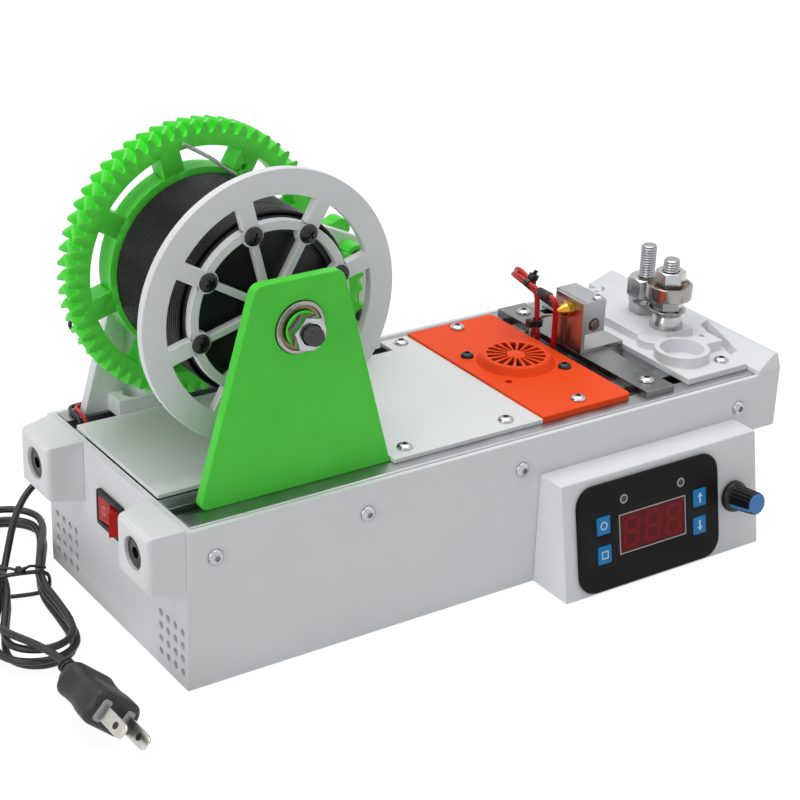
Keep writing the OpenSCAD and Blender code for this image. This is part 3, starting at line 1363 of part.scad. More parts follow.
module cord_tie() {
  color(black) placed() translate([hank_at.x, hank_at.y, band_h / 2]) rotate([0, 0, hank_turn])
    lengthwise(-band_w / 2, band_w) difference() {
      polygon(round_box(2 * band_half, band_h, band_round + band_t));
      polygon(round_box(2 * (band_half - band_t), band_h - 2 * band_t, band_round));
    }
}
plug_roll = 42;
relief_l = 13.1;
relief_r = 3.4;
relief_tip_r = 2;
relief_n = 5;
relief_ring_t = 1.4;
collar_w = 18;
collar_h = 12;
plug_collar_l = 3.5;
plug_body_l = 27.3;
plug_w = 24.4;
plug_h = 15;
plug_round = 5;
blade_gap = 12.7;
prong_w = 1.5;
prong_h = 6.3;
prong_l = 18.2;
module plug() {
  body_y = plug_back_y - relief_l - plug_collar_l;
  color(black) placed() translate([plug_x, plug_back_y, plug_z]) rotate([90, plug_roll, 0]) {
    cylinder(relief_l + seat, relief_tip_r, relief_r);
    for (k = [1:relief_n]) translate([0, 0, k * relief_l / (relief_n + 1) - relief_ring_t / 2])
      cylinder(relief_ring_t, relief_r, relief_r);
    translate([0, 0, relief_l]) linear_extrude(plug_collar_l)
      polygon(round_box(collar_w, collar_h, plug_round));
    translate([0, 0, relief_l + plug_collar_l]) linear_extrude(plug_body_l)
      polygon(round_box(plug_w, plug_h, plug_round));
    translate([0, 0, relief_l + plug_collar_l + plug_body_l - seat]) for (s = [-1, 1])
      translate([s * blade_gap / 2 - prong_w / 2, -prong_h / 2, 0]) cube([prong_w, prong_h, prong_l + seat]);
  }
}

housing();
front_rail();
rear_rail();
end_blocks();
side_screws();
rail_nuts();
cover_plate();
fan_plate();
hotend_bar();
plate_screws();
fan_screws();
fan_frame();
fan_impeller();
hotend_bracket();
heater_block();
nozzle();
heater_cartridge();
heater_wires();
wire_ties();
end_platform();
guide_bolt();
cutter_bolt();
bolt_nuts();
cutter_bearing_inner();
cutter_bearing_outer();
front_bracket();
rear_bracket();
bracket_screws();
bearing_rings();
bearing_cores();
spool_axle();
spool_spacers();
spool_flange();
flange_screws();
spool_core();
filament_winding();
filament_tail();
spool_gear();
gear_motor();
pinion();
motor_clamp();
motor_cradle();
motor_wires();
control_box();
controller();
display();
key_set();
key_enter();
key_up();
key_down();
potentiometer();
knob();
switch_frame();
switch_rocker();
cord_gland();
cord_lead();
cord_hank();
cord_tail();
cord_tie();
plug();
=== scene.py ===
import json
from math import copysign, cos, degrees, exp, floor, pi, radians, sin, tan, tau

import bmesh
import bpy
from mathutils import Matrix, Vector

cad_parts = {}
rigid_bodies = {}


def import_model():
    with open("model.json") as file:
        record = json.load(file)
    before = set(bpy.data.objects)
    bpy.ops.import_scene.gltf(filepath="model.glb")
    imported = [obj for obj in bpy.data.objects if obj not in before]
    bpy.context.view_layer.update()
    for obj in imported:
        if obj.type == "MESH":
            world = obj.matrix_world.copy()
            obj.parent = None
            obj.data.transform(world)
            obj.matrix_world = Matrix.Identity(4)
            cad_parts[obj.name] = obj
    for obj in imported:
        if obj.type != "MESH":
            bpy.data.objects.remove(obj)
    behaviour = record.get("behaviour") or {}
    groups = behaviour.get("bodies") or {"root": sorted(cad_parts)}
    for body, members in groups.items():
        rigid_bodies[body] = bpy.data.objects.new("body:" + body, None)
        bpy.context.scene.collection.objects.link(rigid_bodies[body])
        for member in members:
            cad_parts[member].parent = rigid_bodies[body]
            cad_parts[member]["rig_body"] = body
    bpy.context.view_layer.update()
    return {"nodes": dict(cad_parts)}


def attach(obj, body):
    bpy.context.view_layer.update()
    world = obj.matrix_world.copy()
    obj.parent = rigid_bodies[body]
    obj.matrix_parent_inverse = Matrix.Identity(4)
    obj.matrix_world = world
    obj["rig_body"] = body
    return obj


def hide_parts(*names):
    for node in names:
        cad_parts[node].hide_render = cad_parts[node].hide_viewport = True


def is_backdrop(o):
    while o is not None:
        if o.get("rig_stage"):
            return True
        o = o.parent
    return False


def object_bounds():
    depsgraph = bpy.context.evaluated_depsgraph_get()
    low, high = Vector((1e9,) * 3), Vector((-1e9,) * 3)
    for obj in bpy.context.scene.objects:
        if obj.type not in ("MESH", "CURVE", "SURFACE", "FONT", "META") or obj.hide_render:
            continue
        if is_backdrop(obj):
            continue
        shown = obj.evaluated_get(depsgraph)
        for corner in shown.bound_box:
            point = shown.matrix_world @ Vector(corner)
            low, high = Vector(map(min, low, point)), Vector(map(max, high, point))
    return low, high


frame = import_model()
nodes = frame["nodes"]

# Camera: stands front left and above, where the picture was taken. Its place,
# turn and lens come from the straight edges of the housing and the round
# bearings in a picture 800 by 800 with no shift.
scene = bpy.context.scene
scene.view_settings.view_transform = "Standard"
bearing, dip, roll = (radians(a) for a in (34.901, 24.934, 2.215))
ahead = Vector((sin(bearing) * cos(dip), cos(bearing) * cos(dip), -sin(dip)))
level = Vector((cos(bearing), -sin(bearing), 0))
lift = level.cross(ahead)
right = level * cos(roll) + lift * sin(roll)
above = lift * cos(roll) - level * sin(roll)


def in_scene(name, data):
    """A new object, linked to the scene."""
    thing = bpy.data.objects.new(name, data)
    scene.collection.objects.link(thing)
    return thing


camera = in_scene("photo_camera", bpy.data.cameras.new("photo_camera"))
turned = Matrix((right, above, -ahead)).transposed().to_4x4()
camera.matrix_world = Matrix.Translation((-0.4772, -0.6628, 0.4463)) @ turned
camera.data.lens = 90.207
camera.data.clip_start, camera.data.clip_end = 0.05, 20
scene.camera = camera


# Mains cord: two cores in one thin round sheath of soft black vinyl. It leaves
# the gland in the rear wall, turns round the corner, lies in a tied hank of
# three loops beside the end wall, and runs on to its plug.
def metres(p):
    """A point in millimetres from the housing's front left bottom corner, in the frame's metres."""
    return Vector(((p[0] - 156.3) / 1000, (p[1] - 62.7) / 1000, p[2] / 1000))


def eased_route(points, parts):
    """Points of a soft curve through the given ones, with so many parts between each two."""
    ps = [Vector(p) for p in points]
    route = []
    for i in range(len(ps) - 1):
        a, b, c, d = ps[max(i - 1, 0)], ps[i], ps[i + 1], ps[min(i + 2, len(ps) - 1)]
        for k in range(parts):
            t = k / parts
            route.append(0.5 * (2 * b + (c - a) * t + (2 * a - 5 * b + 4 * c - d) * t * t
                                + (3 * b - a - 3 * c + d) * t ** 3))
    return route + [ps[-1]]


def loop_place(f, r):
    if f < 0.24:
        u = 46 * (1 - 2 * f / 0.24)
        return u, r * (1 - 0.45 * (1 + cos(pi * u / 46)) / 2)
    if f < 0.5:
        a = pi * (f - 0.24) / 0.26
        return -46 - r * sin(a), r * cos(a)
    if f < 0.74:
        u = 46 * (2 * (f - 0.5) / 0.24 - 1)
        return u, -r * (1 - 0.45 * (1 + cos(pi * u / 46)) / 2)
    a = pi * (f - 0.74) / 0.26
    return 46 + r * sin(a), -r * cos(a)


def hank_point(t):
    f = (t + 0.098) % 1
    r = 12 + 6.4 * (1 - abs(1 - t + 2 * floor(t / 2)))
    climb = max(0, min(1, 2 * t - 1.5)) + max(0, min(1, 2 * t - 3.5))
    x, y = loop_place(f, r)
    return Vector((-26, 101, 2.5 + 3.8 * climb)) + hank_way * x + hank_side * y


cord_r = 1.6
hank_way = Vector((cos(radians(74)), sin(radians(74)), 0))
hank_side = Vector((-hank_way.y, hank_way.x, 0))
hank = [hank_point(k / 24) for k in range(75)]
first, last = (hank[1] - hank[0]).normalized(), (hank[-1] - hank[-2]).normalized()
hank_in, hank_out = hank[0] - 2 * cord_r * first, hank[-1] + 2 * cord_r * last
lead_route = [(17, 133.4, 34), (17, 136.6, 34), (15.5, 140.5, 33.4), (12, 143.8, 31.8), (6.5, 145.6, 29.8),
              (0.5, 144.6, 27.6), (-5.4, 141.4, 24.8), (-11, 137.2, 20.8), (-15.6, 132.8, 15.8),
              (-19.2, 128.8, 10.6), (-22.4, 125, 6.2), (-25.4, 121, 3.4), hank_in - 2 * cord_r * first, hank_in]
plug_at = Vector((-41.8, 25.1, 13.7))
tail_route = [hank_out, hank_out + 2 * cord_r * last, (-50.6, 72.8, 10.4), (-51.9, 67.6, 11.6), (-52.2, 62, 12.9),
              (-51.4, 56, 13.9), (-49.8, 50, 14.6), (-47.5, 44, 14.9), (-44.9, 38, 14.6), (-42.8, 32.8, 14),
              plug_at + Vector((0, 3.2, 0)), plug_at]
cord_route = [metres(p) for p in eased_route(lead_route + hank + tail_route, 3)]
cord_curve = bpy.data.curves.new("mains_cord", "CURVE")
cord_curve.dimensions = "3D"
cord_curve.bevel_depth = cord_r / 1000
cord_curve.bevel_resolution = 4
cord_curve.use_fill_caps = True
spline = cord_curve.splines.new("POLY")
spline.points.add(len(cord_route) - 1)
for point, place in zip(spline.points, cord_route):
    point.co = (*place, 1)
spline.use_smooth = True
cord = in_scene("mains_cord", cord_curve)


def tone(code):
    """A colour written as sRGB hex, in the linear values that a shader takes."""
    parts = [int(code[i:i + 2], 16) / 255 for i in (1, 3, 5)]
    return [c / 12.92 if c <= 0.04045 else ((c + 0.055) / 1.055) ** 2.4 for c in parts] + [1]


def add_node(tree, kind, settings=None, **sockets):
    """Adds one node. A socket is named with _ for its spaces, or s and its number."""
    node = tree.nodes.new(kind)
    for key, value in (settings or {}).items():
        setattr(node, key, value)
    for key, value in sockets.items():
        socket = node.inputs[int(key[1:])] if key[0] == "s" and key[1:].isdigit() else node.inputs[key.replace("_", " ")]
        if isinstance(value, bpy.types.NodeSocket):
            tree.links.new(value, socket)
        else:
            socket.default_value = value
    return node


def empty_tree(owner):
    """The node tree of a material or world, with nothing in it."""
    owner.use_nodes = True
    owner.node_tree.nodes.clear()
    return owner.node_tree


def finish(name, pale, deep, rough, patch=14, rub=0.06, grain=None, lines=None, turn=(0, 0, 0), shine=0.5, **shader):
    """A solid's finish: two near tones in patches of a size in mm, roughness that varies by rub, a grain
    (size, depth) and ridges (spacing, depth, axis) in mm, and shine, the strength of its reflections."""
    material = bpy.data.materials.new(name)
    tree = empty_tree(material)
    place = add_node(tree, "ShaderNodeTexCoord").outputs["Object"]
    cloud = add_node(tree, "ShaderNodeTexNoise", Vector=place, Scale=1000 / patch, Detail=4.0,
                     Roughness=0.55).outputs["Fac"]
    mixed = add_node(tree, "ShaderNodeMix", {"data_type": "RGBA"}, s0=cloud, s6=tone(deep), s7=tone(pale)).outputs[2]
    fine = add_node(tree, "ShaderNodeTexNoise", Vector=place, Scale=4000 / patch, Detail=3.0).outputs["Fac"]
    gloss = add_node(tree, "ShaderNodeMapRange", Value=fine, s1=0.3, s2=0.7, s3=rough - rub, s4=rough + rub).outputs[0]
    body = add_node(tree, "ShaderNodeBsdfPrincipled", Base_Color=mixed, Roughness=gloss,
                    Specular_IOR_Level=shine, **shader)
    bump = None
    if lines:
        turned = add_node(tree, "ShaderNodeMapping", Vector=place, Rotation=[radians(a) for a in turn]).outputs[0]
        wave = add_node(tree, "ShaderNodeTexWave", {"bands_direction": lines[2]}, Vector=turned,
                        Scale=tau / 20 / (lines[0] / 1000), Distortion=0.4, Detail=2.0, Detail_Scale=2.0).outputs["Fac"]
        bump = add_node(tree, "ShaderNodeBump", Strength=1.0, Distance=lines[1] / 1000, Height=wave)
    if grain:
        noise = add_node(tree, "ShaderNodeTexNoise", Vector=place, Scale=1000 / grain[0], Detail=3.0).outputs["Fac"]
        over = {"Normal": bump.outputs[0]} if bump else {}
        bump = add_node(tree, "ShaderNodeBump", Strength=1.0, Distance=grain[1] / 1000, Height=noise, **over)
    if bump:
        tree.links.new(bump.outputs[0], body.inputs["Normal"])
    end = add_node(tree, "ShaderNodeOutputMaterial", Surface=body.outputs[0])
    end.is_active_output = True
    return material


# Soft vinyl: dull black with a broad low sheen, a little dust in its pores
cord_vinyl = finish("extruded_vinyl_cord_sheath", "#1B1B1C", "#0E0E0F", 0.42, patch=9, grain=(0.5, 0.02), IOR=1.5)
cord_curve.materials.append(cord_vinyl)


# Plug: moulded black vinyl on two flat blades, with finger grooves on its sides,
# a ribbed sleeve over the cord's end and pale grey pads where the blades stand.
# The tie is a thin black cord wound twice round the hank and knotted on top.
def circle(r, z, sides):
    """A ring of points round Z at a height."""
    return [(r * cos(tau * k / sides), r * sin(tau * k / sides), z) for k in range(sides)]


def wavy_circle(radius, z, sides):
    """A ring of points at a height whose radius is a function of the angle."""
    return [(radius(a) * cos(a), radius(a) * sin(a), z) for a in (tau * k / sides for k in range(sides))]


def oblong(w, h, z):
    """The four corners of a rectangle about Z at a height."""
    return [(w / 2, h / 2, z), (-w / 2, h / 2, z), (-w / 2, -h / 2, z), (w / 2, -h / 2, z)]


def loft(rings, closed=False):
    """Walls between rings of points, and a lid on each end unless it closes on itself."""
    n = len(rings[0])
    points = [p for ring in rings for p in ring]
    faces = []
    spans = len(rings) if closed else len(rings) - 1
    for i in range(spans):
        a, b = i * n, (i + 1) % len(rings) * n
        faces += [(a + k, a + (k + 1) % n, b + (k + 1) % n, b + k) for k in range(n)]
    if not closed:
        top = (len(rings) - 1) * n
        faces += [tuple(range(n))[::-1], tuple(range(top, top + n))]
    return points, faces


up, front, back, left, to_right = (0, 0, 1), (0, -1, 0), (0, 1, 0), (-1, 0, 0), (1, 0, 0)


def set_down(form, origin, out, aside=None):
    """Puts a form made about the origin along Z at a place, with its Z along out and its X near aside."""
    z = Vector(out).normalized()
    x = Vector(aside) if aside else (Vector(to_right) if abs(z.x) < 0.9 else Vector(back))
    x = (x - z * x.dot(z)).normalized()
    y = z.cross(x)
    o = Vector(origin)
    return [o + x * p[0] + y * p[1] + z * p[2] for p in form[0]], form[1]


def standing(form, x, y, z):
    """A form moved to a place, still along Z."""
    return set_down(form, (x, y, z), up, to_right)


def rounded_ring(w, h, r, z, n=6):
    ring = []
    for cx, cy, start in ((w / 2 - r, h / 2 - r, 0), (r - w / 2, h / 2 - r, 90), (r - w / 2, r - h / 2, 180),
                          (w / 2 - r, r - h / 2, 270)):
        for k in range(n + 1):
            a = radians(start + 90 * k / n)
            ring.append((cx + r * cos(a), cy + r * sin(a), z))
    return ring


def pillow(w, h, l, r, edge):
    """A block with a rounded outline and softened ends, standing on z = 0."""
    rings = []
    for z, back in ((0, edge), (edge * 0.3, edge * 0.3), (edge, 0), (l - edge, 0), (l - edge * 0.3, edge * 0.3),
                    (l, edge)):
        rings.append(rounded_ring(w - 2 * back, h - 2 * back, max(r - back, 0.05), z))
    return loft(rings)


def spun(profile, sides=48):
    """A closed profile of (radius, height) turned round Z; ends at radius 0 are closed to a point-like disc."""
    closed = profile[0][0] > 0 and profile[-1][0] > 0
    return loft([circle(max(r, 1e-4), z, sides) for r, z in profile], closed)


def bar(r, length, sides=32):
    return spun([(0, 0), (r, 0), (r, length), (0, length)], sides)


def hose(points, radius, sides=12):
    """A round tube along points; radius is a number, or a list with one for each point."""
    ps = [Vector(p) for p in points]
    side = Vector(up) if abs((ps[1] - ps[0]).normalized().z) < 0.9 else Vector(to_right)
    rings = []
    for i, p in enumerate(ps):
        way = (ps[min(i + 1, len(ps) - 1)] - ps[max(i - 1, 0)]).normalized()
        side = (side - way * side.dot(way)).normalized()
        other = way.cross(side)
        r = radius[i] if isinstance(radius, list) else radius
        rings.append([p + r * (cos(tau * k / sides) * side + sin(tau * k / sides) * other)
                      for k in range(sides)])
    return loft(rings)


def worked_out(thing):
    """The mesh that an object has once its modifiers are applied."""
    bpy.context.view_layer.update()
    return bpy.data.meshes.new_from_object(thing.evaluated_get(bpy.context.evaluated_depsgraph_get()))


def cast(name, forms, stands_for=(), body="frame", crease=32):
    """One piece of the object from forms in millimetres, each with its finish."""
    mesh = bpy.data.meshes.new(name)
    finishes = []
    points, faces, indices = [], [], []
    for form, look in forms:
        if look not in finishes:
            finishes.append(look)
        start = len(points)
        points += [metres(p) for p in form[0]]
        faces += [tuple(start + i for i in f) for f in form[1]]
        indices += [finishes.index(look)] * len(form[1])
    mesh.from_pydata(points, [], faces)
    for look in finishes:
        mesh.materials.append(look)
    mesh.polygons.foreach_set("material_index", indices)
    shell = bmesh.new()
    shell.from_mesh(mesh)
    bmesh.ops.remove_doubles(shell, verts=shell.verts, dist=1e-7)
    bmesh.ops.recalc_face_normals(shell, faces=shell.faces)
    shell.to_mesh(mesh)
    shell.free()
    return finished(in_scene(name, mesh), body, stands_for, crease=crease)


def finished(piece, body, stands_for=(), bevel=0, crease=32):
    """Softens a piece's edges, smooths its curves and lets it ride on its body."""
    piece.data.shade_smooth()
    piece.data.set_sharp_from_angle(angle=radians(crease))
    if bevel:
        soft = piece.modifiers.new("soft_edges", "BEVEL")
        soft.harden_normals = True
        soft.width = bevel / 1000
        soft.segments = 2
        soft.limit_method = "ANGLE"
        soft.angle_limit = radians(crease)
        soft.use_clamp_overlap = False
        soft.miter_outer = "MITER_ARC"
        mesh = worked_out(piece)
        piece.modifiers.clear()
        piece.data = mesh
    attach(piece, body)
    if stands_for:
        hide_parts(*stands_for)
    return piece


# Moulded vinyl: duller than the cord, with the mould's fine spark grain
plug_vinyl = finish("moulded_black_vinyl", "#202022", "#121213", 0.5, patch=7, rub=0.08, grain=(0.45, 0.03), IOR=1.5)


def metal(*values, **more):
    return finish(*values, Metallic=1.0, **more)


# Blades: nickel on brass, drawn along their length
blade_nickel = metal("nickel_plated_brass", "#D3D1CB", "#BEBBB4", 0.24, patch=6, rub=0.04, lines=(0.35, 0.0005, "X"))
# Pads: pale grey, matt
pad_grey = finish("moulded_grey_insert", "#B9BCC0", "#A3A6AB", 0.5, patch=5, grain=(0.4, 0.02), IOR=1.5)
plug_c, plug_s = cos(radians(42)), sin(radians(42))
plug_aside = Vector((plug_c, 0, -plug_s))

relief = [(2.0, 0)]
for k in range(1, 6):
    z = k * 13.1 / 6
    stem_r = 2 + 1.4 * z / 13.1
    relief += [(stem_r - 0.35, z - 1.0), (stem_r - 0.35, z - 0.8), (3.25, z - 0.65), (3.4, z - 0.4), (3.4, z + 0.4),
               (3.25, z + 0.65), (stem_r - 0.25, z + 0.8)]
relief += [(3.3, 13.2)]
sleeve = spun([(0, 0)] + relief + [(0, 13.2)], 32)
waist = []
for i in range(29):
    z = 16.6 + 27.3 * i / 28
    rise = min(1, i / 3, (28 - i) / 2.2)
    inset = 1.4 * (1 - sin(rise * pi / 2))
    pinch = 0.9 * exp(-((z - 27) / 6) ** 2)
    groove = 0.35 * (0.5 - 0.5 * cos(tau * (z - 22) / 2.2)) if 22 < z < 33 else 0
    waist.append(rounded_ring(24.4 - 2 * inset - 2 * pinch, 15 - 2 * inset - 1.2 * pinch - 2 * groove, 5, z))
collar = standing(pillow(18, 12, 4.2, 5, 0.9), 0, 0, 12.9)
blades, pads, eyes = [], [], []
for x in (-6.35, 6.35):
    blade = loft([rounded_ring(t, w, 0.3, 43.8 + z, 2)
                  for z, w, t in ((0, 6.3, 1.5), (15.6, 6.3, 1.5), (17.2, 5.4, 1.1), (18.2, 3.6, 0.7))])
    blades.append(([(p[0] + x, p[1], p[2]) for p in blade[0]], blade[1]))
    pads.append(standing(pillow(4.2, 9.4, 0.6, 1.2, 0.2), x, 0, 43.7))
    eyes.append(set_down(spun([(0, -0.9), (1.5, -0.9), (1.5, 0.9), (0, 0.9)], 20), (x, 0, 56), to_right))
plug_forms = ([(f, plug_vinyl) for f in (sleeve, loft(waist), collar)] + [(f, blade_nickel) for f in blades]
              + [(f, pad_grey) for f in pads] + [(f, plug_vinyl) for f in eyes])
plug = cast("mains_plug", [(set_down(f, plug_at, front, plug_aside), look) for f, look in plug_forms],
            ("plug",), crease=40)

hank_mid = Vector((-26, 101, 6.4))
wraps = []
for k in range(97):
    a = tau * k / 48
    wide = 12.2 * copysign(abs(cos(a)) ** 0.6, cos(a))
    high = 5.6 * copysign(abs(sin(a)) ** 0.6, sin(a))
    wraps.append(hank_mid + hank_side * wide + Vector((0, 0, high)) + hank_way * (0.02 * k - 0.96))
knot = []
for k in range(61):
    a = tau * k / 60
    knot.append(hank_mid + Vector((0, 0, 6.9)) + hank_side * (1.5 * (sin(a) + 2 * sin(2 * a)) / 2.2)
                + hank_way * (1.5 * (cos(a) - 2 * cos(2 * a)) / 2.2) + Vector((0, 0, -0.8 * sin(3 * a))))
ends = []
for s in (-1, 1):
    bends = ((1, 0, 6.6), (4, 1.5, 7.6), (8, 3 + s, 6.6), (11, 5 + 2 * s, 5.2))
    ends.append(eased_route([hank_mid + Vector((0, 0, z)) + hank_side * x * s + hank_way * y for x, y, z in bends], 5))
tie = cast("cord_tie_knotted", [(hose(wraps, 0.7, 10), cord_vinyl), (hose(knot, 0.75, 10), cord_vinyl)]
           + [(hose(e, 0.6, 10), cord_vinyl) for e in ends], ("cord_tie",), crease=60)
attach(cord, "frame")
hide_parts("cord_lead", "cord_hank", "cord_tail")

# Gland: a black nylon bush clamped through the rear wall by a nut inside it,
# with a long ribbed sleeve that follows the cord and keeps it from kinking.
sleeve_route = eased_route([(17, 131.2, 34)] + lead_route[:5], 8)[:-2]
sleeve_r = [3.3 - 1.45 * k / (len(sleeve_route) - 1) + (0.22 if k % 4 < 2 else -0.12) for k in range(len(sleeve_route))]
gland_body = spun([(0, -5.4), (5.4, -5.4), (6, -5), (6, -2.6), (4, -2.4), (4, 0), (5.7, 0), (6, 0.3), (6, 1.7), (5.7, 2),
                   (4, 2.2), (3.4, 8), (0, 8)], 40)
cast("cord_gland_sleeve",
     [(set_down(gland_body, (17, 125.4, 34), back), plug_vinyl), (hose(sleeve_route, sleeve_r, 20), plug_vinyl)],
     ("cord_gland",))

# Floor and light: a white sweep under soft lamps, one wide above and one at each
# side. The world and the floor are white for the camera and for reflections
# alone, so the lamps can stay low enough that the white plastic keeps its shape.
world = bpy.data.worlds.new("studio")
scene.world = world
world_tree = empty_tree(world)


def seen_directly(tree):
    """1 for camera, mirror and glass rays, 0 for the light that falls on the object."""
    path = add_node(tree, "ShaderNodeLightPath").outputs
    first_two = add_node(tree, "ShaderNodeMath", {"operation": "MAXIMUM"}, s0=path["Is Camera Ray"],
                         s1=path["Is Glossy Ray"])
    return add_node(tree, "ShaderNodeMath", {"operation": "MAXIMUM"}, s0=first_two.outputs[0],
                    s1=path["Is Transmission Ray"]).outputs[0]


dim = add_node(world_tree, "ShaderNodeBackground", Color=(1, 1, 1, 1), Strength=0.24)
bright = add_node(world_tree, "ShaderNodeBackground", Color=(1, 1, 1, 1), Strength=1.0)
mixed = add_node(world_tree, "ShaderNodeMixShader", s0=seen_directly(world_tree), s1=dim.outputs[0], s2=bright.outputs[0])
add_node(world_tree, "ShaderNodeOutputWorld", Surface=mixed.outputs[0])
floor_mesh = bpy.data.meshes.new("floor")
floor_mesh.from_pydata([(-6, -6, -0.0002), (6, -6, -0.0002), (6, 6, -0.0002), (-6, 6, -0.0002)], [], [(0, 1, 2, 3)])
in_scene("floor", floor_mesh)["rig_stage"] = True
paper = bpy.data.materials.new("matt_white_paper")
paper_tree = empty_tree(paper)
seen = seen_directly(paper_tree)
shade = add_node(paper_tree, "ShaderNodeMix", {"data_type": "RGBA"}, s0=seen, s6=tone("#F2F2F2"), s7=tone("#8A8A8A"))
matt = add_node(paper_tree, "ShaderNodeBsdfDiffuse", Color=shade.outputs[2])
share = add_node(paper_tree, "ShaderNodeMath", {"operation": "MULTIPLY"}, s0=seen, s1=0.9)
glow = add_node(paper_tree, "ShaderNodeEmission", Color=(1, 1, 1, 1), Strength=share.outputs[0])
lit = add_node(paper_tree, "ShaderNodeAddShader", s0=matt.outputs[0], s1=glow.outputs[0])
add_node(paper_tree, "ShaderNodeOutputMaterial", Surface=lit.outputs[0])
floor_mesh.materials.append(paper)
for name, place, size, power in (("lamp_above", (0.1, 0.2, 1.5), (1.6, 1.3), 15.5),
                                 ("lamp_right", (1.1, -1.3, 0.8), (0.8, 1.0), 1.2),
                                 ("lamp_left", (-1.4, -0.3, 0.7), (0.8, 1.0), 6.5)):
    lamp_data = bpy.data.lights.new(name, "AREA")
    lamp_data.shape = "RECTANGLE"
    lamp_data.size, lamp_data.size_y = size
    lamp_data.energy = power
    lamp = in_scene(name, lamp_data)
    lamp.location = place
    lamp.rotation_mode = "QUATERNION"
    lamp.rotation_quaternion = (Vector((0, 0, 0.06)) - Vector(place)).to_track_quat("-Z", "Y")


# Housing: a white printed tray with a raised solid cap at its right end, vents
# in its left end and bores for screws. Its walls were printed flat, so fine
# layers run up them, and every corner is a little round from the nozzle.
def softened(node, width, look, crease=32, merge_top=1000):
    """A CAD solid with soft edges in place of its sharp one. Faces above merge_top in mm keep their
    triangles, and so does all of a solid whose merge_top is 0."""
    shell = bmesh.new()
    shell.from_mesh(nodes[node].data)
    bmesh.ops.remove_doubles(shell, verts=shell.verts, dist=2e-6)
    if merge_top:
        low = {v for v in shell.verts if v.co.z < merge_top / 1000}
        bmesh.ops.dissolve_limit(shell, angle_limit=radians(0.6), verts=list(low), delimit={"NORMAL"},
                                 edges=[e for e in shell.edges if low.issuperset(e.verts)])
    mesh = bpy.data.meshes.new(node + "_soft")
    shell.to_mesh(mesh)
    shell.free()
    mesh.materials.clear()
    mesh.materials.append(look)
    piece = in_scene(node + "_soft", mesh)
    return finished(piece, nodes[node]["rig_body"], (node,), width, crease)


# White PLA: matt, faintly cool, layers 0.28 mm high that catch grazing light
white_pla = finish("printed_white_pla", "#F0F1F4", "#E7E9EC", 0.55, patch=30, rub=0.05, grain=(0.8, 0.012),
                   lines=(0.28, 0.006, "Z"), IOR=1.46)
softened("housing", 0.45, white_pla)
softened("end_blocks", 0.5, white_pla)

# Rails: two 28 mm square T-slot rails of anodised aluminium. They carry every
# plate and bracket, and their slots take the screws' nuts. Extruding leaves
# fine lines along them, and the anodic skin is satin.
rail_alloy = metal("anodised_aluminium_extrusion", "#A7A9AC", "#939598", 0.36, patch=40, rub=0.07,
                   lines=(0.5, 0.006, "Y"), grain=(0.3, 0.003))
zinc_plate = metal("bright_zinc_plated_steel", "#BFC0C2", "#A9AAAE", 0.2, patch=5, rub=0.06, grain=(0.8, 0.0012))


def dress(node, look):
    """Gives a CAD solid that keeps its own shape its finish."""
    mesh = nodes[node].data
    mesh.materials.clear()
    mesh.materials.append(look)
    mesh.polygons.foreach_set("material_index", [0] * len(mesh.polygons))


for node in ("front_rail", "rear_rail"):
    softened(node, 0.2, rail_alloy, crease=40)
dress("rail_nuts", zinc_plate)

# Plates on the rails: a pale smooth cover, the orange fan plate with its domed
# grille, the steel bar of the hotend and the white end platform. Each has a
# soft edge, and the printed ones show the lines of their top layer.
# Foam sheet: smooth and nearly white. Orange PLA: top lines on the skew. Steel: ground across. Nylon: dull
pale_sheet = finish("pvc_foam_sheet_pale_grey", "#EFF2F2", "#E7EBEB", 0.38, patch=45, rub=0.04, grain=(1.2, 0.006),
                    IOR=1.5)
orange_pla = finish("printed_orange_pla", "#FF520E", "#FC4C0B", 0.5, patch=12, rub=0.06, lines=(0.45, 0.012, "X"),
                    turn=(0, 0, 45), grain=(0.5, 0.008), IOR=1.46, shine=0.25)
bar_steel = metal("ground_mild_steel", "#8A8C8B", "#7B7D7C", 0.34, patch=12, rub=0.08, lines=(0.7, 0.002, "X"),
                  grain=(0.8, 0.002))
black_nylon = finish("moulded_black_nylon", "#1E1E20", "#151517", 0.45, patch=8, grain=(0.5, 0.006), IOR=1.5, shine=0.35)
softened("cover_plate", 0.3, pale_sheet)
softened("fan_plate", 0.3, orange_pla, merge_top=75.3)
softened("hotend_bar", 0.2, bar_steel)
softened("end_platform", 0.3, white_pla)
softened("fan_frame", 0.2, black_nylon)
softened("fan_impeller", 0.15, black_nylon)


axle_x, axle_z = 57.4, 141.9


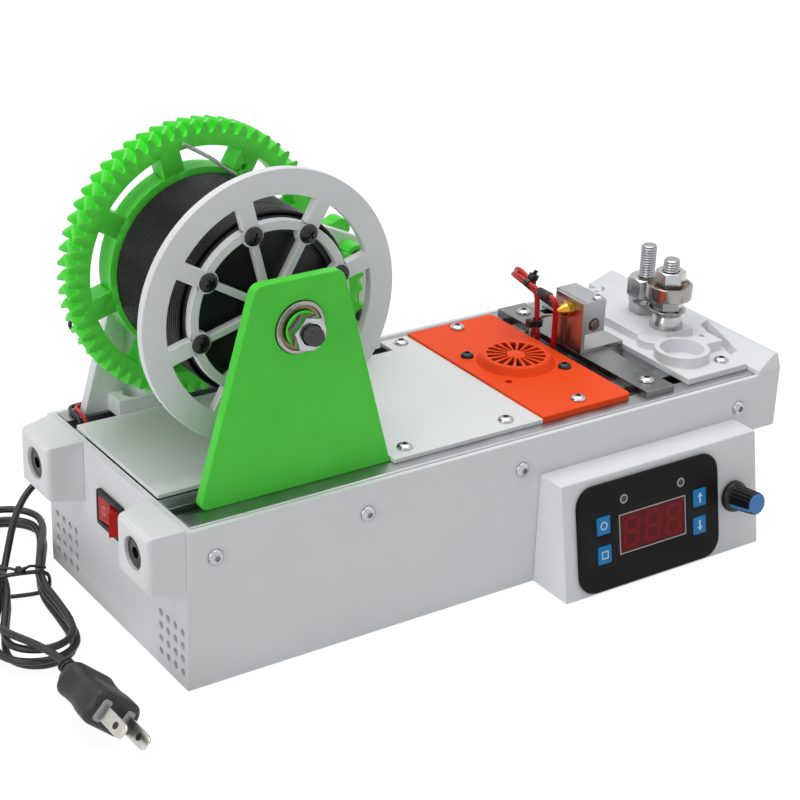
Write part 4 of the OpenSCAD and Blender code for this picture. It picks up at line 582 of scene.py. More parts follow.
# Screws: cold-headed and plated, bright zinc with a hexagon socket in the plates
# and walls, black with a cross recess in the spool and black with a socket in
# the fan plate. One tree sets a like screw in each hole of a piece.
def recessed_screw(name, head_r, head_h, shank_r, shank_l, recess, depth, domed=True):
    """A screw with its head on z = 0 and its shank below, in millimetres, kept out of the picture."""
    side = [(0, -shank_l), (shank_r - 0.3, -shank_l), (shank_r, 0.3 - shank_l), (shank_r, 0), (head_r - 0.15, 0),
            (head_r, 0.15)]
    if domed:
        side += [(head_r * cos(a), 0.35 + (head_h - 0.35) * sin(a)) for a in (pi / 2 * k / 8 for k in range(8))]
    else:
        side += [(head_r, head_h - 0.5), (head_r - 0.15, head_h - 0.15), (head_r - 0.5, head_h)]
    whole = spun(side + [(0, head_h)], 36)
    tool = []
    if recess == "hex":
        r = head_r * 0.36 / cos(pi / 6)
        tool.append(loft([circle(r, z, 6) for z in (head_h - depth, head_h + 1)]))
    else:
        for w, l in ((head_r * 0.22, head_r * 1.06), (head_r * 1.06, head_r * 0.22)):
            tool.append(loft([oblong(w * s, l * s, z) for z, s in ((head_h - depth, 0.72), (head_h + 0.5, 1.1))]))
    made = []
    for points, faces in (whole, *tool):
        mesh = bpy.data.meshes.new(name + "_form")
        mesh.from_pydata([[c / 1000 for c in p] for p in points], [], faces)
        made.append(in_scene(name + "_form", mesh))
    for cutter in made[1:]:
        opened = made[0].modifiers.new("recess", "BOOLEAN")
        opened.operation, opened.solver, opened.object = "DIFFERENCE", "EXACT", cutter
    mesh = worked_out(made[0])
    for part in made:
        bpy.data.objects.remove(part)
    screw = in_scene(name, mesh)
    screw.hide_render = True
    screw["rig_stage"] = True
    return screw


holes_tree = bpy.data.node_groups.new("one_in_each_hole", "GeometryNodeTree")
for label, kind in (("Geometry", "Geometry"), ("Fastener", "Object"), ("Finish", "Material")):
    holes_tree.interface.new_socket(label, in_out="INPUT", socket_type="NodeSocket" + kind)
holes_tree.interface.new_socket("Geometry", in_out="OUTPUT", socket_type="NodeSocketGeometry")
given = add_node(holes_tree, "NodeGroupInput").outputs
shape = add_node(holes_tree, "GeometryNodeObjectInfo", Object=given["Fastener"]).outputs["Geometry"]
turn = add_node(holes_tree, "GeometryNodeInputNamedAttribute", {"data_type": "FLOAT_VECTOR"},
                Name="turn").outputs["Attribute"]
spread = add_node(holes_tree, "GeometryNodeInstanceOnPoints", Points=given["Geometry"], Instance=shape, Rotation=turn)
solid = add_node(holes_tree, "GeometryNodeRealizeInstances", Geometry=spread.outputs[0])
coated = add_node(holes_tree, "GeometryNodeSetMaterial", Geometry=solid.outputs[0], Material=given["Finish"])
add_node(holes_tree, "NodeGroupOutput", Geometry=coated.outputs[0])


def set_in_holes(name, fastener, holes, look, stands_for=(), body="frame"):
    """Like fasteners in holes, each hole a place in millimetres, a way out and a turn in degrees."""
    mesh = bpy.data.meshes.new(name)
    mesh.from_pydata([metres(p) for p, out, spin in holes], [], [])
    turns = mesh.attributes.new("turn", "FLOAT_VECTOR", "POINT")
    for i, (p, out, spin) in enumerate(holes):
        facing = Vector(out).to_track_quat("Z", "Y").to_matrix() @ Matrix.Rotation(radians(spin), 3, "Z")
        turns.data[i].vector = facing.to_euler("XYZ")
    holder = in_scene(name + "_holes", mesh)
    setting = holder.modifiers.new("fasteners", "NODES")
    setting.node_group = holes_tree
    for item in holes_tree.interface.items_tree:
        if item.in_out == "INPUT" and item.name != "Geometry":
            setting[item.identifier] = {"Fastener": fastener, "Finish": look}[item.name]
    plain = worked_out(holder)
    bpy.data.objects.remove(holder)
    return finished(in_scene(name, plain), body, stands_for)


# Black oxide: dark, oily and satin
black_oxide = finish("black_oxide_steel", "#1C1C1E", "#121213", 0.32, patch=3, rub=0.06, grain=(0.5, 0.002), IOR=1.5,
                     shine=0.4)
plate_screw = recessed_screw("plate_screw", 3.5, 2.0, 2.0, 8.5, "hex", 1.75)
plate_spots = [((x, y, z), up, spin) for x, y, z, spin in
               ((112.6, 16.6, 74.1, 10), (165.5, 16.6, 74.1, 40), (173, 108.8, 74.1, 25), (205.4, 16.6, 75.1, 0),
                (205.4, 108.8, 75.1, 50), (245.1, 16.6, 75.1, 15), (245.1, 108.8, 75.1, 33), (290.4, 16.6, 75.1, 5),
                (290.4, 108.8, 75.1, 20))]
set_in_holes("plate_screws_zinc", plate_screw, plate_spots, zinc_plate, ("plate_screws",))
wall_spots = [((x, y, 58.1), way, 17 * i) for i, x in enumerate((12.8, 83.8, 163.1, 288.2))
              for y, way in ((0, front), (125.4, back))]
set_in_holes("wall_screws_zinc", plate_screw, wall_spots, zinc_plate)
# The head of an M8 bolt with the plain washer under it
socket_bolt = recessed_screw("end_block_bolt", 6.6, 9.6, 4.0, 9.4, "hex", 4.0, domed=False)
set_in_holes("end_block_bolts", socket_bolt, [((-6, 12.5, 62), left, 10), ((-6, 102, 62), left, 35)],
             black_oxide, ("side_screws",))
fan_screw = recessed_screw("fan_screw", 3.1, 2.2, 1.5, 12.5, "hex", 1.8)
set_in_holes("fan_screws_black", fan_screw, [((189.7, 79, 75.1), up, 0), ((221.7, 47, 75.1), up, 20)],
             black_oxide, ("fan_screws",))
foot_spots = [((x, y, 75.1), up, 30) for x, y in ((36, 17.8), (78, 17.8), (34, 110), (138, 110))]
set_in_holes("bracket_foot_screws", plate_screw, foot_spots, zinc_plate, ("bracket_screws",))
ear_screw = recessed_screw("clamp_screw", 2.8, 1.6, 1.5, 24.2, "cross", 0.9)
clamp_ears = ((147.4, 94.8), (144.2, 124.4))
set_in_holes("clamp_screws_black", ear_screw,
             [((x, 105.2, z), front, spin) for (x, z), spin in zip(clamp_ears, (20, 65))], black_oxide)
spool_screw = recessed_screw("spool_screw", 4.0, 2.1, 1.45, 14, "cross", 1.2)
spokes = [radians(15 + 45 * k) for k in range(8)]
spool_spots = [((axle_x + 33.1 * cos(a), 33.5, axle_z + 33.1 * sin(a)), front, 37 * k) for k, a in enumerate(spokes)]
set_in_holes("spool_screws_black", spool_screw, spool_spots, black_oxide, ("flange_screws",), "spool")


# Nuts, washers and threads: zinc-plated M8 and M3 hardware. The bolt stands on
# its head below the platform, and the rolled thread shows above each nut.
def hex_nut(flats, height, bore):
    """A nut whose corners are turned off at 30 degrees."""
    rings, bevel_r = [], flats / 2 * 0.97
    for r, z in ((bore, 0.5), (bore + 0.5, 0), (bevel_r, 0), (0, 0), (0, height), (bevel_r, height), (bore + 0.5, height),
                 (bore, height - 0.5)):
        ring = []
        for a in (tau * k / 72 for k in range(72)):
            corner = flats / 2 / cos((a + pi / 6) % (pi / 3) - pi / 6)
            drop = max(0, corner - bevel_r) * tan(radians(30))
            radius, level = (r, z) if r else (corner, drop if z == 0 else height - drop)
            ring.append((radius * cos(a), radius * sin(a), level))
        rings.append(ring)
    return loft(rings, True)


def threaded_rod(r, length):
    """A rod with a rolled M8 thread, a little tapered at both ends."""
    pitch, depth, sides = 1.25, 0.65, 24
    rings = []
    rows = int(length / pitch * 8)
    for i in range(rows + 1):
        z = length * i / rows
        edge = max(0, 1 - (length - z) / 0.9) * 0.5 + max(0, 1 - z / 0.6) * 0.3
        ring = []
        for k in range(sides):
            cut_in = depth * (1 - abs(2 * ((z / pitch - k / sides) % 1) - 1)) ** 0.8
            a, radius = tau * k / sides, r - cut_in - edge
            ring.append((radius * cos(a), radius * sin(a), z))
        rings.append(ring)
    return loft(rings)


def washer(out_r, in_r, t):
    c = min(0.25, t / 4)
    return spun([(in_r, 0), (out_r - c, 0), (out_r, c), (out_r, t - c), (out_r - c, t), (in_r, t)], 48)


def bearing_ring(width, out_r, in_r, edge):
    return spun([(in_r, edge), (in_r + edge, 0), (out_r - edge, 0), (out_r, edge), (out_r, width - edge),
                 (out_r - edge, width), (in_r + edge, width), (in_r, width - edge)], 64)


# Ring steel: near mirror with grinding lines. Shields: brown and soft. Threads: duller zinc
bearing_chrome = metal("ground_bearing_steel", "#A8A4A2", "#918D8B", 0.16, patch=6, rub=0.04, lines=(0.4, 0.0004, "Z"))
shield_bronze = metal("pressed_bearing_shield", "#8A7A62", "#6E604B", 0.32, patch=4, rub=0.08, grain=(0.6, 0.006))
thread_zinc = metal("rolled_zinc_thread", "#A9AAAD", "#8F9094", 0.26, patch=3, rub=0.06, grain=(0.6, 0.0015))
cx, cy, gx, gy, deck = 289.2, 54.9, 292.3, 75.0, 79.0
m8_flats, m8_bore = 13, 4.1
head_z, shank_z, ring_z = 66.8, 71.8, deck + 14.9
for name, x, y, shank, thread_r, thread, thread_from in (("guide_bolt", gx, gy, 25, 3.95, 16.2, 96.8),
                                                         ("cutter_bolt", cx, cy, 30, 4.0, 11.4, 101.6)):
    cast(name + "_threaded",
         [(standing(hex_nut(m8_flats, 5.3, 0.3), x, y, head_z), zinc_plate),
          (standing(bar(4, shank), x, y, shank_z), zinc_plate),
          (standing(threaded_rod(thread_r, thread), x, y, thread_from), thread_zinc)], (name,), crease=25)
flare = spun([(m8_bore, 0), (8, 0), (8, 1.2), (7.2, 4.6), (6.6, 6.2), (m8_bore, 6.2)], 48)
split_ring = spun([(m8_bore, 0), (6.6, 0), (7, 0.3), (7, 1.7), (6.6, 2), (m8_bore, 2)], 48)
stack = ((flare, zinc_plate, 0), (split_ring, thread_zinc, 6.2), (washer(8.8, m8_bore, 1.0), bearing_chrome, 8.2),
         (hex_nut(m8_flats, 5.7, m8_bore), zinc_plate, 9.2), (hex_nut(m8_flats, 6.5, m8_bore), zinc_plate, 21.9))
guide_stack = ((hex_nut(m8_flats, 5.6, m8_bore), 0), (washer(8, m8_bore, 2.4), 5.6), (hex_nut(15.6, 10, m8_bore), 8))
cast("bolt_nuts_and_washers",
     [(standing(f, cx, cy, deck + z), look) for f, look, z in stack]
     + [(standing(f, gx, gy, deck + z), zinc_plate) for f, z in guide_stack], ("bolt_nuts",), crease=25)
# Bearings: ground steel rings, 22 mm across, with a pressed shield between them
cast("cutter_bearing_bore_ring",
     [(standing(bearing_ring(7, 6, m8_bore, 0.3), cx, cy, ring_z), bearing_chrome)], ("cutter_bearing_inner",))
outer_ring = spun([(6.05, 0.75), (9.3, 0.75), (9.45, 0.2), (10.7, 0.15), (11, 0.45), (11, 6.55), (10.7, 6.85),
                   (9.45, 6.8), (9.3, 6.25), (6.05, 6.25)], 64)
shields = [spun([(6.25, z), (9.2, z), (9.2, z + 0.15), (6.25, z + 0.15)], 64) for z in (0.6, 6.25)]
cast("cutter_bearing_rim", [(standing(outer_ring, cx, cy, ring_z), bearing_chrome)]
     + [(standing(s, cx, cy, ring_z), shield_bronze) for s in shields], ("cutter_bearing_outer",), body="cutter_ring")

# Hotend: a bent steel sheet, ground bright and slit below the nozzle, stands on
# the bar. A milled aluminium block behind it holds the cartridge heater by a
# clamping screw, and the brass nozzle screws through both.
# Sheet: drawn lines, satin. Block: cutter marks. Nozzle: lathe rings. Cartridge: browned by heat
sheet_steel = metal("ground_spring_steel_sheet", "#B0AEAB", "#9C9A98", 0.33, patch=9, rub=0.04, lines=(0.5, 0.0006, "Z"))
milled_alloy = metal("milled_aluminium", "#B4B5B7", "#9FA1A4", 0.36, patch=6, rub=0.06, lines=(0.7, 0.0015, "Y"))
brass = metal("turned_brass", "#D9A548", "#C08A34", 0.2, patch=3, rub=0.04, lines=(0.4, 0.001, "X"))
heated_steel = metal("heat_stained_steel", "#75685C", "#5F544C", 0.34, patch=2, rub=0.06, grain=(0.5, 0.002))
softened("hotend_bracket", 0.2, sheet_steel)
softened("heater_block", 0.3, milled_alloy)
dress("heater_cartridge", heated_steel)
tip = spun([(0.35, 8.0), (0.35, 5), (0.7, 3.1), (3.25, 3.1), (3.2, 3.5), (1.05, 7.6), (0.7, 8.0)], 40)
hexagon = hex_nut(7, 3.2, 0.4)
cast("nozzle_turned",
     [(set_down(f, (237, 64, 95.2), left, up), brass) for f in (hexagon, tip, standing(bar(2.9, 9), 0, 0, -8.9))],
     ("nozzle",), crease=28)
cast("cartridge_end",
     [(set_down(spun([(0, 0), (2.6, 0), (2.6, 0.35), (2.2, 0.8), (0, 0.95)], 32), (244.2, 54.52, 88.6), front, to_right),
       heated_steel)])
block_screw = recessed_screw("block_screw", 2.7, 1.8, 1.35, 7, "hex", 1.0)
set_in_holes("block_clamp_screws", block_screw, [((247.05, 56.95, 100.5), up, 15)], zinc_plate)

# Heater wires: two silicone-covered wires of a hot glossy red with two thin ones
# for the sensor, red and white, and black shrink sleeves. Nylon ties hold them.
# Silicone: glossy and rubbery. Shrink sleeve: dull with creases. Ties: smooth black nylon
red_silicone = finish("red_silicone_wire_cover", "#D81818", "#B81013", 0.3, patch=6, rub=0.06, grain=(0.6, 0.01),
                      IOR=1.45)
white_silicone = finish("white_silicone_wire_cover", "#E6E4E2", "#D5D2CF", 0.38, patch=6, grain=(0.6, 0.01), IOR=1.45)
shrink_black = finish("black_shrink_sleeve", "#202022", "#141415", 0.42, patch=5, rub=0.08, grain=(1.0, 0.03), IOR=1.5)
tie_nylon = finish("black_nylon_tie", "#1D1D1F", "#121213", 0.33, patch=4, grain=(0.4, 0.008), IOR=1.52)
melt = Vector((237, 64, 72.1))
heater_route = [(5.8, 14.5, 16.5), (5.8, 18, 16.5), (5, 23, 17.5), (2.5, 28, 19.9), (-0.5, 33, 23.4), (-3, 36.5, 26.1),
                (-5.1, 37.6, 27.9), (-6.4, 35, 28.9), (-6.4, 31, 28.9), (-6, 26, 28.1), (-5.2, 22, 26.9),
                (-4.6, 20, 26.1), (-4.4, 14, 25.9), (-4.4, 9.5, 25.9), (-4.2, 7, 24.5), (-3.6, 6.4, 20.9),
                (-3.2, 6.8, 13.9), (-3, 7, 2.9), (-3, 7, -12.1)]
return_route = [(8.8, 14.5, 16.5), (8.8, 18, 16.5), (8, 23, 16.9), (5.5, 28.5, 18.9), (2.5, 34, 21.4), (0.4, 38, 23.7),
                (-0.8, 40.4, 26.3), (-1.8, 39.8, 28.9), (-2.8, 36.5, 30.1), (-3.4, 32, 29.7), (-3.3, 28, 28.1),
                (-3, 24.5, 25.5), (-2.6, 22.4, 21.9), (-2.6, 21.4, 15.9), (-3, 20.5, 8.9), (-3.4, 19, 2.9),
                (-3.5, 18.8, -12.1)]
sensor_route = [(5.5, 14.4, 12), (4.8, 17.5, 12), (2.6, 20.6, 11), (0.2, 22, 9.4), (-2.2, 22.4, 7.2), (-4.0, 21.9, 3.2),
                (-4.6, 21.4, -3), (-4.6, 21.4, -12)]
hot_wires = [hose(eased_route([melt + Vector(p) for p in route], 4), 1.3, 14) for route in (heater_route, return_route)]
sensor_wires = [hose(eased_route([melt + Vector(p) + Vector((dx, dy, dz)) for p in sensor_route], 4), 0.5, 8)
        for dx, dy, dz in ((0, 0, 0), (-0.9, 0.9, 0.2))]
sleeves = [hose([melt + Vector((-4.4, y, 25.9)) for y in (9.8, 10.2, 11.4, 14.3, 17.2, 18.4, 18.8)],
                [1.5, 1.95, 2.1, 2.05, 2.1, 1.95, 1.5], 16),
           hose(eased_route([melt + Vector(p) for p in heater_route[1:4]], 4), 1.75, 14),
           hose(eased_route([melt + Vector(p) for p in return_route[1:4]], 4), 1.75, 14)]
cast("heater_wires_red", [(f, red_silicone) for f in hot_wires]
     + [(sensor_wires[0], red_silicone), (sensor_wires[1], white_silicone)] + [(f, shrink_black) for f in sleeves],
     ("heater_wires",), crease=50)


top_mid, low_mid = melt + Vector((-4.62, 26, 27.35)), melt + Vector((-3, 20.4, 7.3))
band = loft([[(r * cos(a) + copysign(1.6, cos(a)), r * sin(a), z) for a in (tau * (k + 0.5) / 40 for k in range(40))]
             for r, z in ((1.36, -1.2), (2.05, -1.2), (2.1, -1.05), (2.1, 1.05), (2.05, 1.2), (1.36, 1.2))], True)
lock = pillow(4.2, 3.6, 3.0, 0.7, 0.3)
tongue = loft([rounded_ring(2.4, 0.9, 0.3, z, 2) for z in (0, 2.2)])
low_band = spun([(1.9, 0.15), (2.05, 0), (2.7, 0), (2.85, 0.15), (2.85, 3.25), (2.7, 3.4), (2.05, 3.4), (1.9, 3.25)], 32)
along_wires, across = Vector((0.12, -0.96, -0.24)), Vector((2.9, 0, -1.3))
cast("nylon_wire_ties",
     [(set_down(band, top_mid, along_wires, across), tie_nylon),
      (set_down(lock, top_mid + Vector((1.5, 0.1, 1.5)), (0.35, -0.2, 1), to_right), tie_nylon),
      (set_down(tongue, top_mid + Vector((2.4, 0, 4.0)), (0.5, -0.3, 1), to_right), tie_nylon),
      (set_down(low_band, low_mid, up, to_right), tie_nylon),
      (set_down(lock, low_mid + Vector((-2.4, 0, 2.1)), left, back), tie_nylon)],
     ("wire_ties",), crease=40)


# Brackets: the front one printed in bright green PLA with a 608 bearing pressed
# in its face, the rear one in white with the motor on its back.
green_glow = {"IOR": 1.46, "Subsurface_Weight": 0.12, "Subsurface_Radius": (0.001, 0.0022, 0.0008), "shine": 0.25}
# Green PLA: half gloss, lit from within a little, with coarse layers
green_pla = finish("printed_green_pla", "#5CE84B", "#50DA41", 0.4, patch=18, rub=0.06, lines=(0.6, 0.008, "Z"),
                   grain=(0.6, 0.006), **green_glow)
for node, width, look in (("front_bracket", 0.6, green_pla), ("rear_bracket", 0.5, white_pla),
                          ("motor_clamp", 0.4, green_pla), ("motor_cradle", 0.4, green_pla)):
    softened(node, width, look)


# Spool: a black drum between a white wheel and the green gear, turning on an M8
# rod through two bearings. Black filament is wound on it tight, turn by turn,
# and its last clear length passes out through the gear's window.
def on_axle(form, y, way=back, aside=to_right):
    return set_down(form, (axle_x, y, axle_z), way, aside)


# The gear's green is painted paler than the bracket's, a painted highlight for the light that falls on its face; its
# layers lie across its axle
gear_pla_painted_light = finish("printed_green_pla_gear_painted_light", "#68F855", "#5BEA49", 0.4, patch=14, rub=0.06, lines=(0.28, 0.006, "Y"),
                  grain=(0.6, 0.006), **green_glow)
softened("spool_flange", 0.35, white_pla, crease=40)
softened("spool_gear", 0.12, gear_pla_painted_light, crease=40, merge_top=0)
softened("spool_core", 0.3, black_nylon)
# Filament: glassy deep black
filament_black = finish("black_pet_filament", "#0D0D0E", "#070708", 0.26, patch=6, rub=0.05, IOR=1.55, shine=0.2)
turns, steps = 31, 60
centre = Vector((axle_x, 0, axle_z))
loops = []
for k in range(turns * steps + 1):
    a = tau * k / steps
    loops.append(centre + Vector((38.42 * cos(a), 38.4 + 0.87 + (92.6 - 38.4 - 1.74) * k / (turns * steps),
                                  38.42 * sin(a))))
cast("wound_filament", [(hose(loops, 0.89, 8), filament_black)], ("filament_winding",), body="spool",
     crease=60)
# Its end: pale, half clear
clear_pet = finish("clear_pet_strip", "#D3DAD7", "#C3CBC8", 0.2, patch=5, rub=0.04, IOR=1.5, Transmission_Weight=0.35)
tail_polar = ((39.3, 64), (41.4, 74), (45.2, 84), (53, 98))
tail = eased_route([centre + Vector((r * cos(radians(a)), 92.5, r * sin(radians(a)))) for r, a in tail_polar], 5)
cast("filament_end_clear", [(hose(tail, 0.85, 10), clear_pet)], ("filament_tail",), body="spool",
     crease=60)

# Rod: oiled black oxide
black_rod = finish("black_oxide_threaded_rod", "#1F1F20", "#131314", 0.26, patch=3, rub=0.06, grain=(0.5, 0.002), IOR=1.5,
                   shine=0.6)
front_end, back_end = on_axle(threaded_rod(4, 6.2), 5.2, front), on_axle(threaded_rod(4, 9.4), 122.6)
plain = on_axle(bar(4, 118, 40), 5)
cast("spool_rod_and_nuts",
     [(plain, black_rod), (front_end, black_rod), (back_end, black_rod),
      (on_axle(hex_nut(m8_flats, 6.5, m8_bore), 9.5, front, (0.95, 0, 0.31)), zinc_plate),
      (on_axle(hex_nut(m8_flats, 6.5, m8_bore), 120), zinc_plate)], ("spool_axle",), crease=25)
axle_bore = 4.15
green_ring = spun([(axle_bore, 0), (7.0, 0), (7.4, 0.3), (7.4, 1.0), (7.0, 1.3), (axle_bore, 1.3)], 40)


def spacer(length):
    return spun([(axle_bore, 0), (5.3, 0), (5.6, 0.3), (5.6, length - 0.3), (5.3, length), (axle_bore, length)], 40)


cast("axle_spacers",
     [(on_axle(green_ring, 9.5), green_pla), (on_axle(spacer(15.7), 17.8), black_nylon),
      (on_axle(spacer(9), 104), black_nylon)], ("spool_spacers",), crease=30)
outer = spun([(9.3, 0.5), (9.5, 0.15), (10.7, 0.1), (11, 0.4), (11, 6.6), (10.7, 6.9), (9.5, 6.85), (9.3, 6.5)], 64)
inner = spun([(axle_bore, 0.2), (5.5, 0.1), (5.8, 0.3), (5.95, 0.55), (5.95, 6.45), (5.8, 6.7), (5.5, 6.9),
              (axle_bore, 6.8)], 48)
# Painted shade and grease: a dark brown fill between a bearing's rings, seen where its shield ends
gap_floor = finish("bearing_grease_shadow", "#1B1714", "#100E0C", 0.5, patch=3, grain=(0.4, 0.01))
lid = [(6.3, 0.55), (6.6, 0.4), (8.9, 0.35), (9.3, 0.6), (9.3, 0.8), (6.3, 0.8)]
filling = spun([(6.06, 0.9), (9.35, 0.9), (9.35, 6.1), (6.06, 6.1)], 48)
rings_out, rings_in = [], []
for y in (10.8, 113.0):
    rings_out += [(on_axle(outer, y), bearing_chrome), (on_axle(spun(lid, 64), y), shield_bronze),
                  (on_axle(filling, y), gap_floor),
                  (on_axle(spun([(r, 7 - z) for r, z in reversed(lid)], 64), y), shield_bronze)]
    rings_in.append((on_axle(inner, y), bearing_chrome))
cast("bearing_outer_rings", rings_out, ("bearing_rings",), crease=30)
cast("bearing_inner_rings", rings_in, ("bearing_cores",), body="spool", crease=30)

# Gear motor: a die-cast gearbox of four screws with a plated can beside it, held
# in its green cradle. Its brass-bushed shaft turns the small printed pinion.
# Gearbox: grainy and dull. Can: plated, with drawn rings
cast_alloy = metal("die_cast_alloy", "#A9ABAE", "#8D8F93", 0.42, patch=8, rub=0.08, grain=(0.6, 0.02))
can_steel = metal("plated_motor_can", "#C0C1C4", "#A1A2A6", 0.25, patch=9, rub=0.06, lines=(0.8, 0.002, "X"))
softened("gear_motor", 0.5, cast_alloy)
case_x, can_y, can_z = 116.47, 131.5, 116.9
case_lid = set_down(pillow(44.4, 30.4, 1.1, 2, 0.4), (case_x, 144, can_z), back, to_right)
case_line = loft([rounded_ring(46.3 - 2 * back, 32.3 - 2 * back, 1.2, z)
                  for z, back in ((0, 0.25), (0.25, 0), (0.95, 0), (1.2, 0.25))])
seam = set_down(case_line, (case_x, 140.2, can_z), back, to_right)
cast("gearbox_lid", [(case_lid, cast_alloy), (seam, can_steel)])


def along_can(profile, x):
    return set_down(spun(profile, 56), (x, can_y, can_z), left, up)


cast("motor_can", [(along_can([(0, 0), (12.4, 0), (12.4, 5.2), (12.25, 5.5), (12.25, 27.5), (11.9, 28.6),
                                             (10.6, 29.6), (5.8, 31.2), (5.2, 31.4), (5.2, 32.9), (4.7, 33.4), (0, 33.4)],
                                            93.4), can_steel)]
     + [(set_down(pillow(3.6, 0.9, 4.4, 0.2, 0.15), (62.8, can_y + s * 6.6, can_z), left, up), zinc_plate)
        for s in (-1, 1)])
lid_screw = recessed_screw("gearbox_screw", 2.6, 1.5, 1.2, 4, "cross", 0.8)
corners = [((case_x + dx, 145.1, can_z + dz), back, 13 * i)
           for i, (dx, dz) in enumerate(((-18.6, -11.6), (18.6, -11.6), (18.6, 11.6), (-18.6, 11.6)))]
set_in_holes("gearbox_screws", lid_screw, corners, zinc_plate)
m3_nut = hex_nut(5.5, 2.4, 1.5)
screw_end = spun([(0, 0), (1.45, 0), (1.45, 2.6), (1.2, 2.9), (0, 2.9)], 20)
cast("clamp_screw_nuts",
     [(set_down(f, (x, 127, z), back, to_right), look) for f, look in ((m3_nut, zinc_plate), (screw_end, black_oxide))
      for x, z in clamp_ears])
softened("pinion", 0.25, green_pla)
motor_route = [(60, 6.1, 118.1), (57, 6.1, 118.1), (48, 6.3, 118), (38, 6.2, 117), (29, 6, 115.2), (21.5, 5.8, 113),
               (16.6, 5.6, 110.6), (14.8, 5.4, 107.6), (17.2, 5.1, 104.8), (22, 4.7, 102.8), (28, 4, 100),
               (32.5, 3.2, 95), (34.5, 2.2, 89), (34.3, 0.4, 83), (32.6, -1.7, 78.2), (29, -2.5, 74.9), (24, -2.4, 73.6),
               (18.5, -2.4, 73.4), (13, -2.4, 73.4), (9.6, -3.4, 73.4), (8.4, -6.6, 73.5), (8.2, -10.6, 73.6),
               (8.2, -13.6, 73.3), (8.2, -15.5, 71.8), (8.2, -16.4, 69.5), (8.2, -16.6, 66)]
black_wire, red_wire = [[Vector(p) + Vector(step) + Vector((0, 125.4, 0)) for p in motor_route]
                        for step in ((0, 0, 0), (1.9, -1.9, 0.6))]
red_wire[0].x -= 1.9
cast("motor_wires_pair",
     [(hose(eased_route(black_wire, 4), 0.9, 10), shrink_black), (hose(eased_route(red_wire, 4), 0.9, 10), red_silicone)],
     ("motor_wires",), crease=60)


# Control box: a white printed wedge on the front wall that holds the thermostat's
# black panel and the speed control's knob.
tilt = radians(10.295)
face_u, face_v, face_n = Vector(to_right), Vector((0, sin(tilt), cos(tilt))), Vector((0, -cos(tilt), sin(tilt)))


def on_panel(form, x, s, d=0.0):
    """A form made about the origin along Z, set on the box's sloping face."""
    place = Vector((0, -24.5, 0)) + face_u * x + face_v * s + face_n * d
    return [place + face_u * p[0] + face_v * p[1] + face_n * p[2] for p in form[0]], form[1]


def plate(outline, t):
    """A flat plate of an outline given as (x, y)."""
    return loft([[(x, y, z) for x, y in outline] for z in (0, t)])


softened("control_box", 0.7, white_pla)
# Film: flat black, hardly shining
panel_black = finish("matt_black_panel_film", "#171718", "#131314", 0.4, patch=20, rub=0.03, grain=(0.5, 0.002), IOR=1.45,
                     shine=0.12)
softened("controller", 0.45, panel_black)
dress("potentiometer", cast_alloy)

# Panel print: a grey frame round the window and a ring round each lamp, with a
# smoked dome in each, and three unlit digits behind the red window.
# Print: flat grey. Window: deep red and glossy. Digits: a shade lighter. Domes: smoked
print_grey = finish("grey_screen_print", "#B4B4B6", "#A3A3A6", 0.5, patch=6)
window_red = finish("dark_red_display_window", "#6E0F12", "#600D10", 0.2, patch=30, rub=0.02, IOR=1.5, shine=0.12)
digit_red = finish("unlit_digit_segments", "#8A1518", "#7D1215", 0.3, patch=6, shine=0.12)
smoked = finish("smoked_lamp_dome", "#3A3A3C", "#29292B", 0.12, patch=2, IOR=1.5)
wx0, wx1, wy0, wy1 = 203.4, 240.8, 16.5, 34.0
mid_x, mid_y = (wx0 + wx1) / 2, (wy0 + wy1) / 2


def frame_of(w, h, line, t):
    return loft([oblong(w + 2 * grow, h + 2 * grow, z) for grow, z in ((0, 0), (0, t), (line, t), (line, 0))], True)


def ring_of(r0, r1, t):
    return spun([(r0, 0), (r0, t), (r1, t), (r1, 0)], 40)


lamps, film_top = ((206.0, 41.4), (238.9, 41.0)), 1.6
cast("panel_print",
     [(on_panel(frame_of(wx1 - wx0, wy1 - wy0, 0.55, 0.05), mid_x, mid_y, film_top), print_grey)]
     + [(on_panel(ring_of(1.42, 2.15, 0.05), x, y, film_top), print_grey) for x, y in lamps]
     + [(on_panel(spun([(0, 0), (1.36, 0), (1.2, 0.4), (0.8, 0.62), (0, 0.72)], 32), x, y, 1.15), smoked)
        for x, y in lamps])
segments = []
for mid in (-12.2, 0, 12.2):
    for y, x in ((-6.4, 0), (0, 0), (6.4, 0), (-3.2, -3.6), (-3.2, 3.6), (3.2, -3.6), (3.2, 3.6)):
        long, half = 3.35 if x == 0 else 2.95, 0.95
        stroke = [(-long, 0), (half - long, half), (long - half, half), (long, 0), (long - half, -half),
                  (half - long, -half)]
        placed = [(x + px, y + py) for px, py in stroke] if x == 0 else [(x - py, y + px) for px, py in stroke]
        segments.append([(mid + px + 0.1 * py, py) for px, py in placed])
pane = loft([oblong(37.36 - 2 * b, 17.46 - 2 * b, z) for z, b in ((0, 0), (1.3, 0), (1.42, 0.12))])
cast("display_window", [(on_panel(pane, mid_x, mid_y, 0.12), window_red)]
     + [(on_panel(plate(s, 0.03), mid_x, mid_y, 1.53), digit_red) for s in segments], ("display",), crease=40)

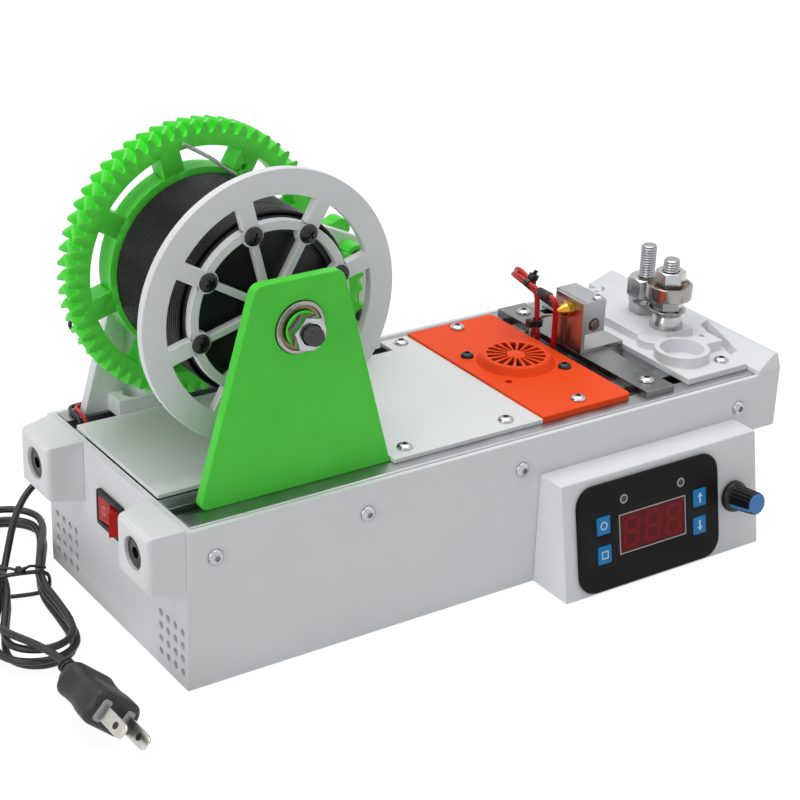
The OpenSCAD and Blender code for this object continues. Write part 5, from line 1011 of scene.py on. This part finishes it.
# Keys: soft blue domed pads that stand a little proud of the panel. Two have
# arrows; the others have a plain round and a square sign in place of words.
# Keys: soft satin blue, printed nearly white
key_blue = finish("blue_silicone_key", "#1B86CB", "#177CBE", 0.45, patch=5, rub=0.04, grain=(0.5, 0.002), IOR=1.45,
                  shine=0.3)
key_print = finish("pale_key_print", "#CFE6F6", "#BFDCF0", 0.5, patch=4)
arrow = [(-0.5, -2.5), (0.5, -2.5), (0.5, 0.5), (1.55, 0.5), (0, 2.6), (-1.55, 0.5), (-0.5, 0.5)]
signs = {"set": ring_of(1.35, 1.95, 0.04), "enter": frame_of(2.6, 2.6, 0.55, 0.04), "up": plate(arrow, 0.04),
         "down": plate([(x, -y) for x, y in reversed(arrow)], 0.04)}
for label, x, y in (("set", 194.1, 31.9), ("enter", 194.2, 18.3), ("up", 249.7, 31.2), ("down", 249.3, 18.1)):
    pad = loft([rounded_ring(7.4 - 2 * b, 8.3 - 2 * b, max(0.55 - b, 0.1), z, 3)
                for z, b in ((0.42, 0), (1.1, 0), (1.32, 0.14), (1.4, 0.4))])
    cast(f"key_pad_{label}",
         [(on_panel(pad, x, y, 0.6), key_blue), (on_panel(signs[label], x, y, 1.99), key_print)], ("key_" + label,),
         body=label + "_key", crease=40)

# Knob: moulded black plastic with fine ribs over a flared skirt, and a blue cap
# whose pointer runs down one side.
# Knob: half gloss black. Cap: satin blue
knob_black = finish("moulded_black_knob", "#121215", "#0C0C0E", 0.32, patch=6, rub=0.05, grain=(0.6, 0.002), IOR=1.5,
                    shine=0.3)
knob_blue = finish("blue_knob_cap", "#3A86CB", "#327DC0", 0.4, patch=6, rub=0.04, grain=(0.5, 0.006), IOR=1.5)


def groove(a):
    """How deep the grip is cut at an angle: 18 ribs, but none beside the pointer."""
    return 0 if abs((degrees(a) - pointer_turn + 180) % 360 - 180) < 17 else 0.42 * (0.5 - 0.5 * cos(18 * a))


pointer_turn = 205
skirt = spun([(0, 0), (7.0, 0), (7.3, 0.3), (7.25, 1.6), (6.95, 2.4), (6.3, 3.0), (5.8, 3.5), (0, 3.5)], 64)
grip = loft([wavy_circle(lambda a: r - share * groove(a), z, 144)
             for r, z, share in ((5.8, 3.3, 0), (5.75, 3.9, 1), (5.3, 14.6, 1), (5.1, 15.3, 0.3), (4.7, 15.5, 0))])
cap = spun([(0, 14.9), (4.55, 14.9), (4.55, 15.6), (4.3, 15.9), (0, 16.05)], 48)
c, s = cos(radians(pointer_turn)), sin(radians(pointer_turn))
pointer = loft([[(c * (r + dr) - s * w, s * (r + dr) + c * w, z)
                 for dr, w in ((-0.6, -0.95), (0.42, -0.75), (0.42, 0.75), (-0.6, 0.95))]
                for r, z in ((5.62, 3.7), (5.5, 6.0), (5.2, 13.0), (5.02, 15.2), (4.2, 15.92))])
stem = bar(2.9, 9)
knob_forms = ((skirt, 0.5, knob_black), (grip, 0.5, knob_black), (stem, -6.0, knob_black), (cap, 0.5, knob_blue),
              (pointer, 0.5, knob_blue))
cast("speed_knob_ribbed", [(on_panel(f, 271, 26.4, d), look) for f, d, look in knob_forms],
     ("knob",), body="speed_knob", crease=30)

# Switch: a red rocker with a moulded ring as its sign, in a black snap-in bezel
rocker_red = finish("glossy_red_rocker", "#C41014", "#B00D10", 0.16, patch=8, rub=0.03, IOR=1.5, shine=0.2)
softened("switch_frame", 0.35, black_nylon)
softened("switch_rocker", 0.4, rocker_red, crease=20)
sign_pale = finish("pale_pad_print", "#E2B5B2", "#D9A8A5", 0.45, patch=3)
round_sign = ring_of(1.45, 1.85, 0.06)
sign = [(p[0] * 0.7, p[1] * 1.15, p[2]) for p in round_sign[0]], round_sign[1]
pressed = Vector((-0.992, -0.122, 0))
cast("rocker_off_sign",
     [(set_down(sign, Vector((-1.57, 68.55, 50.5)) - pressed * 0.01, pressed, back), sign_pale)], body="rocker")

bpy.context.view_layer.update()
low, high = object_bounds()
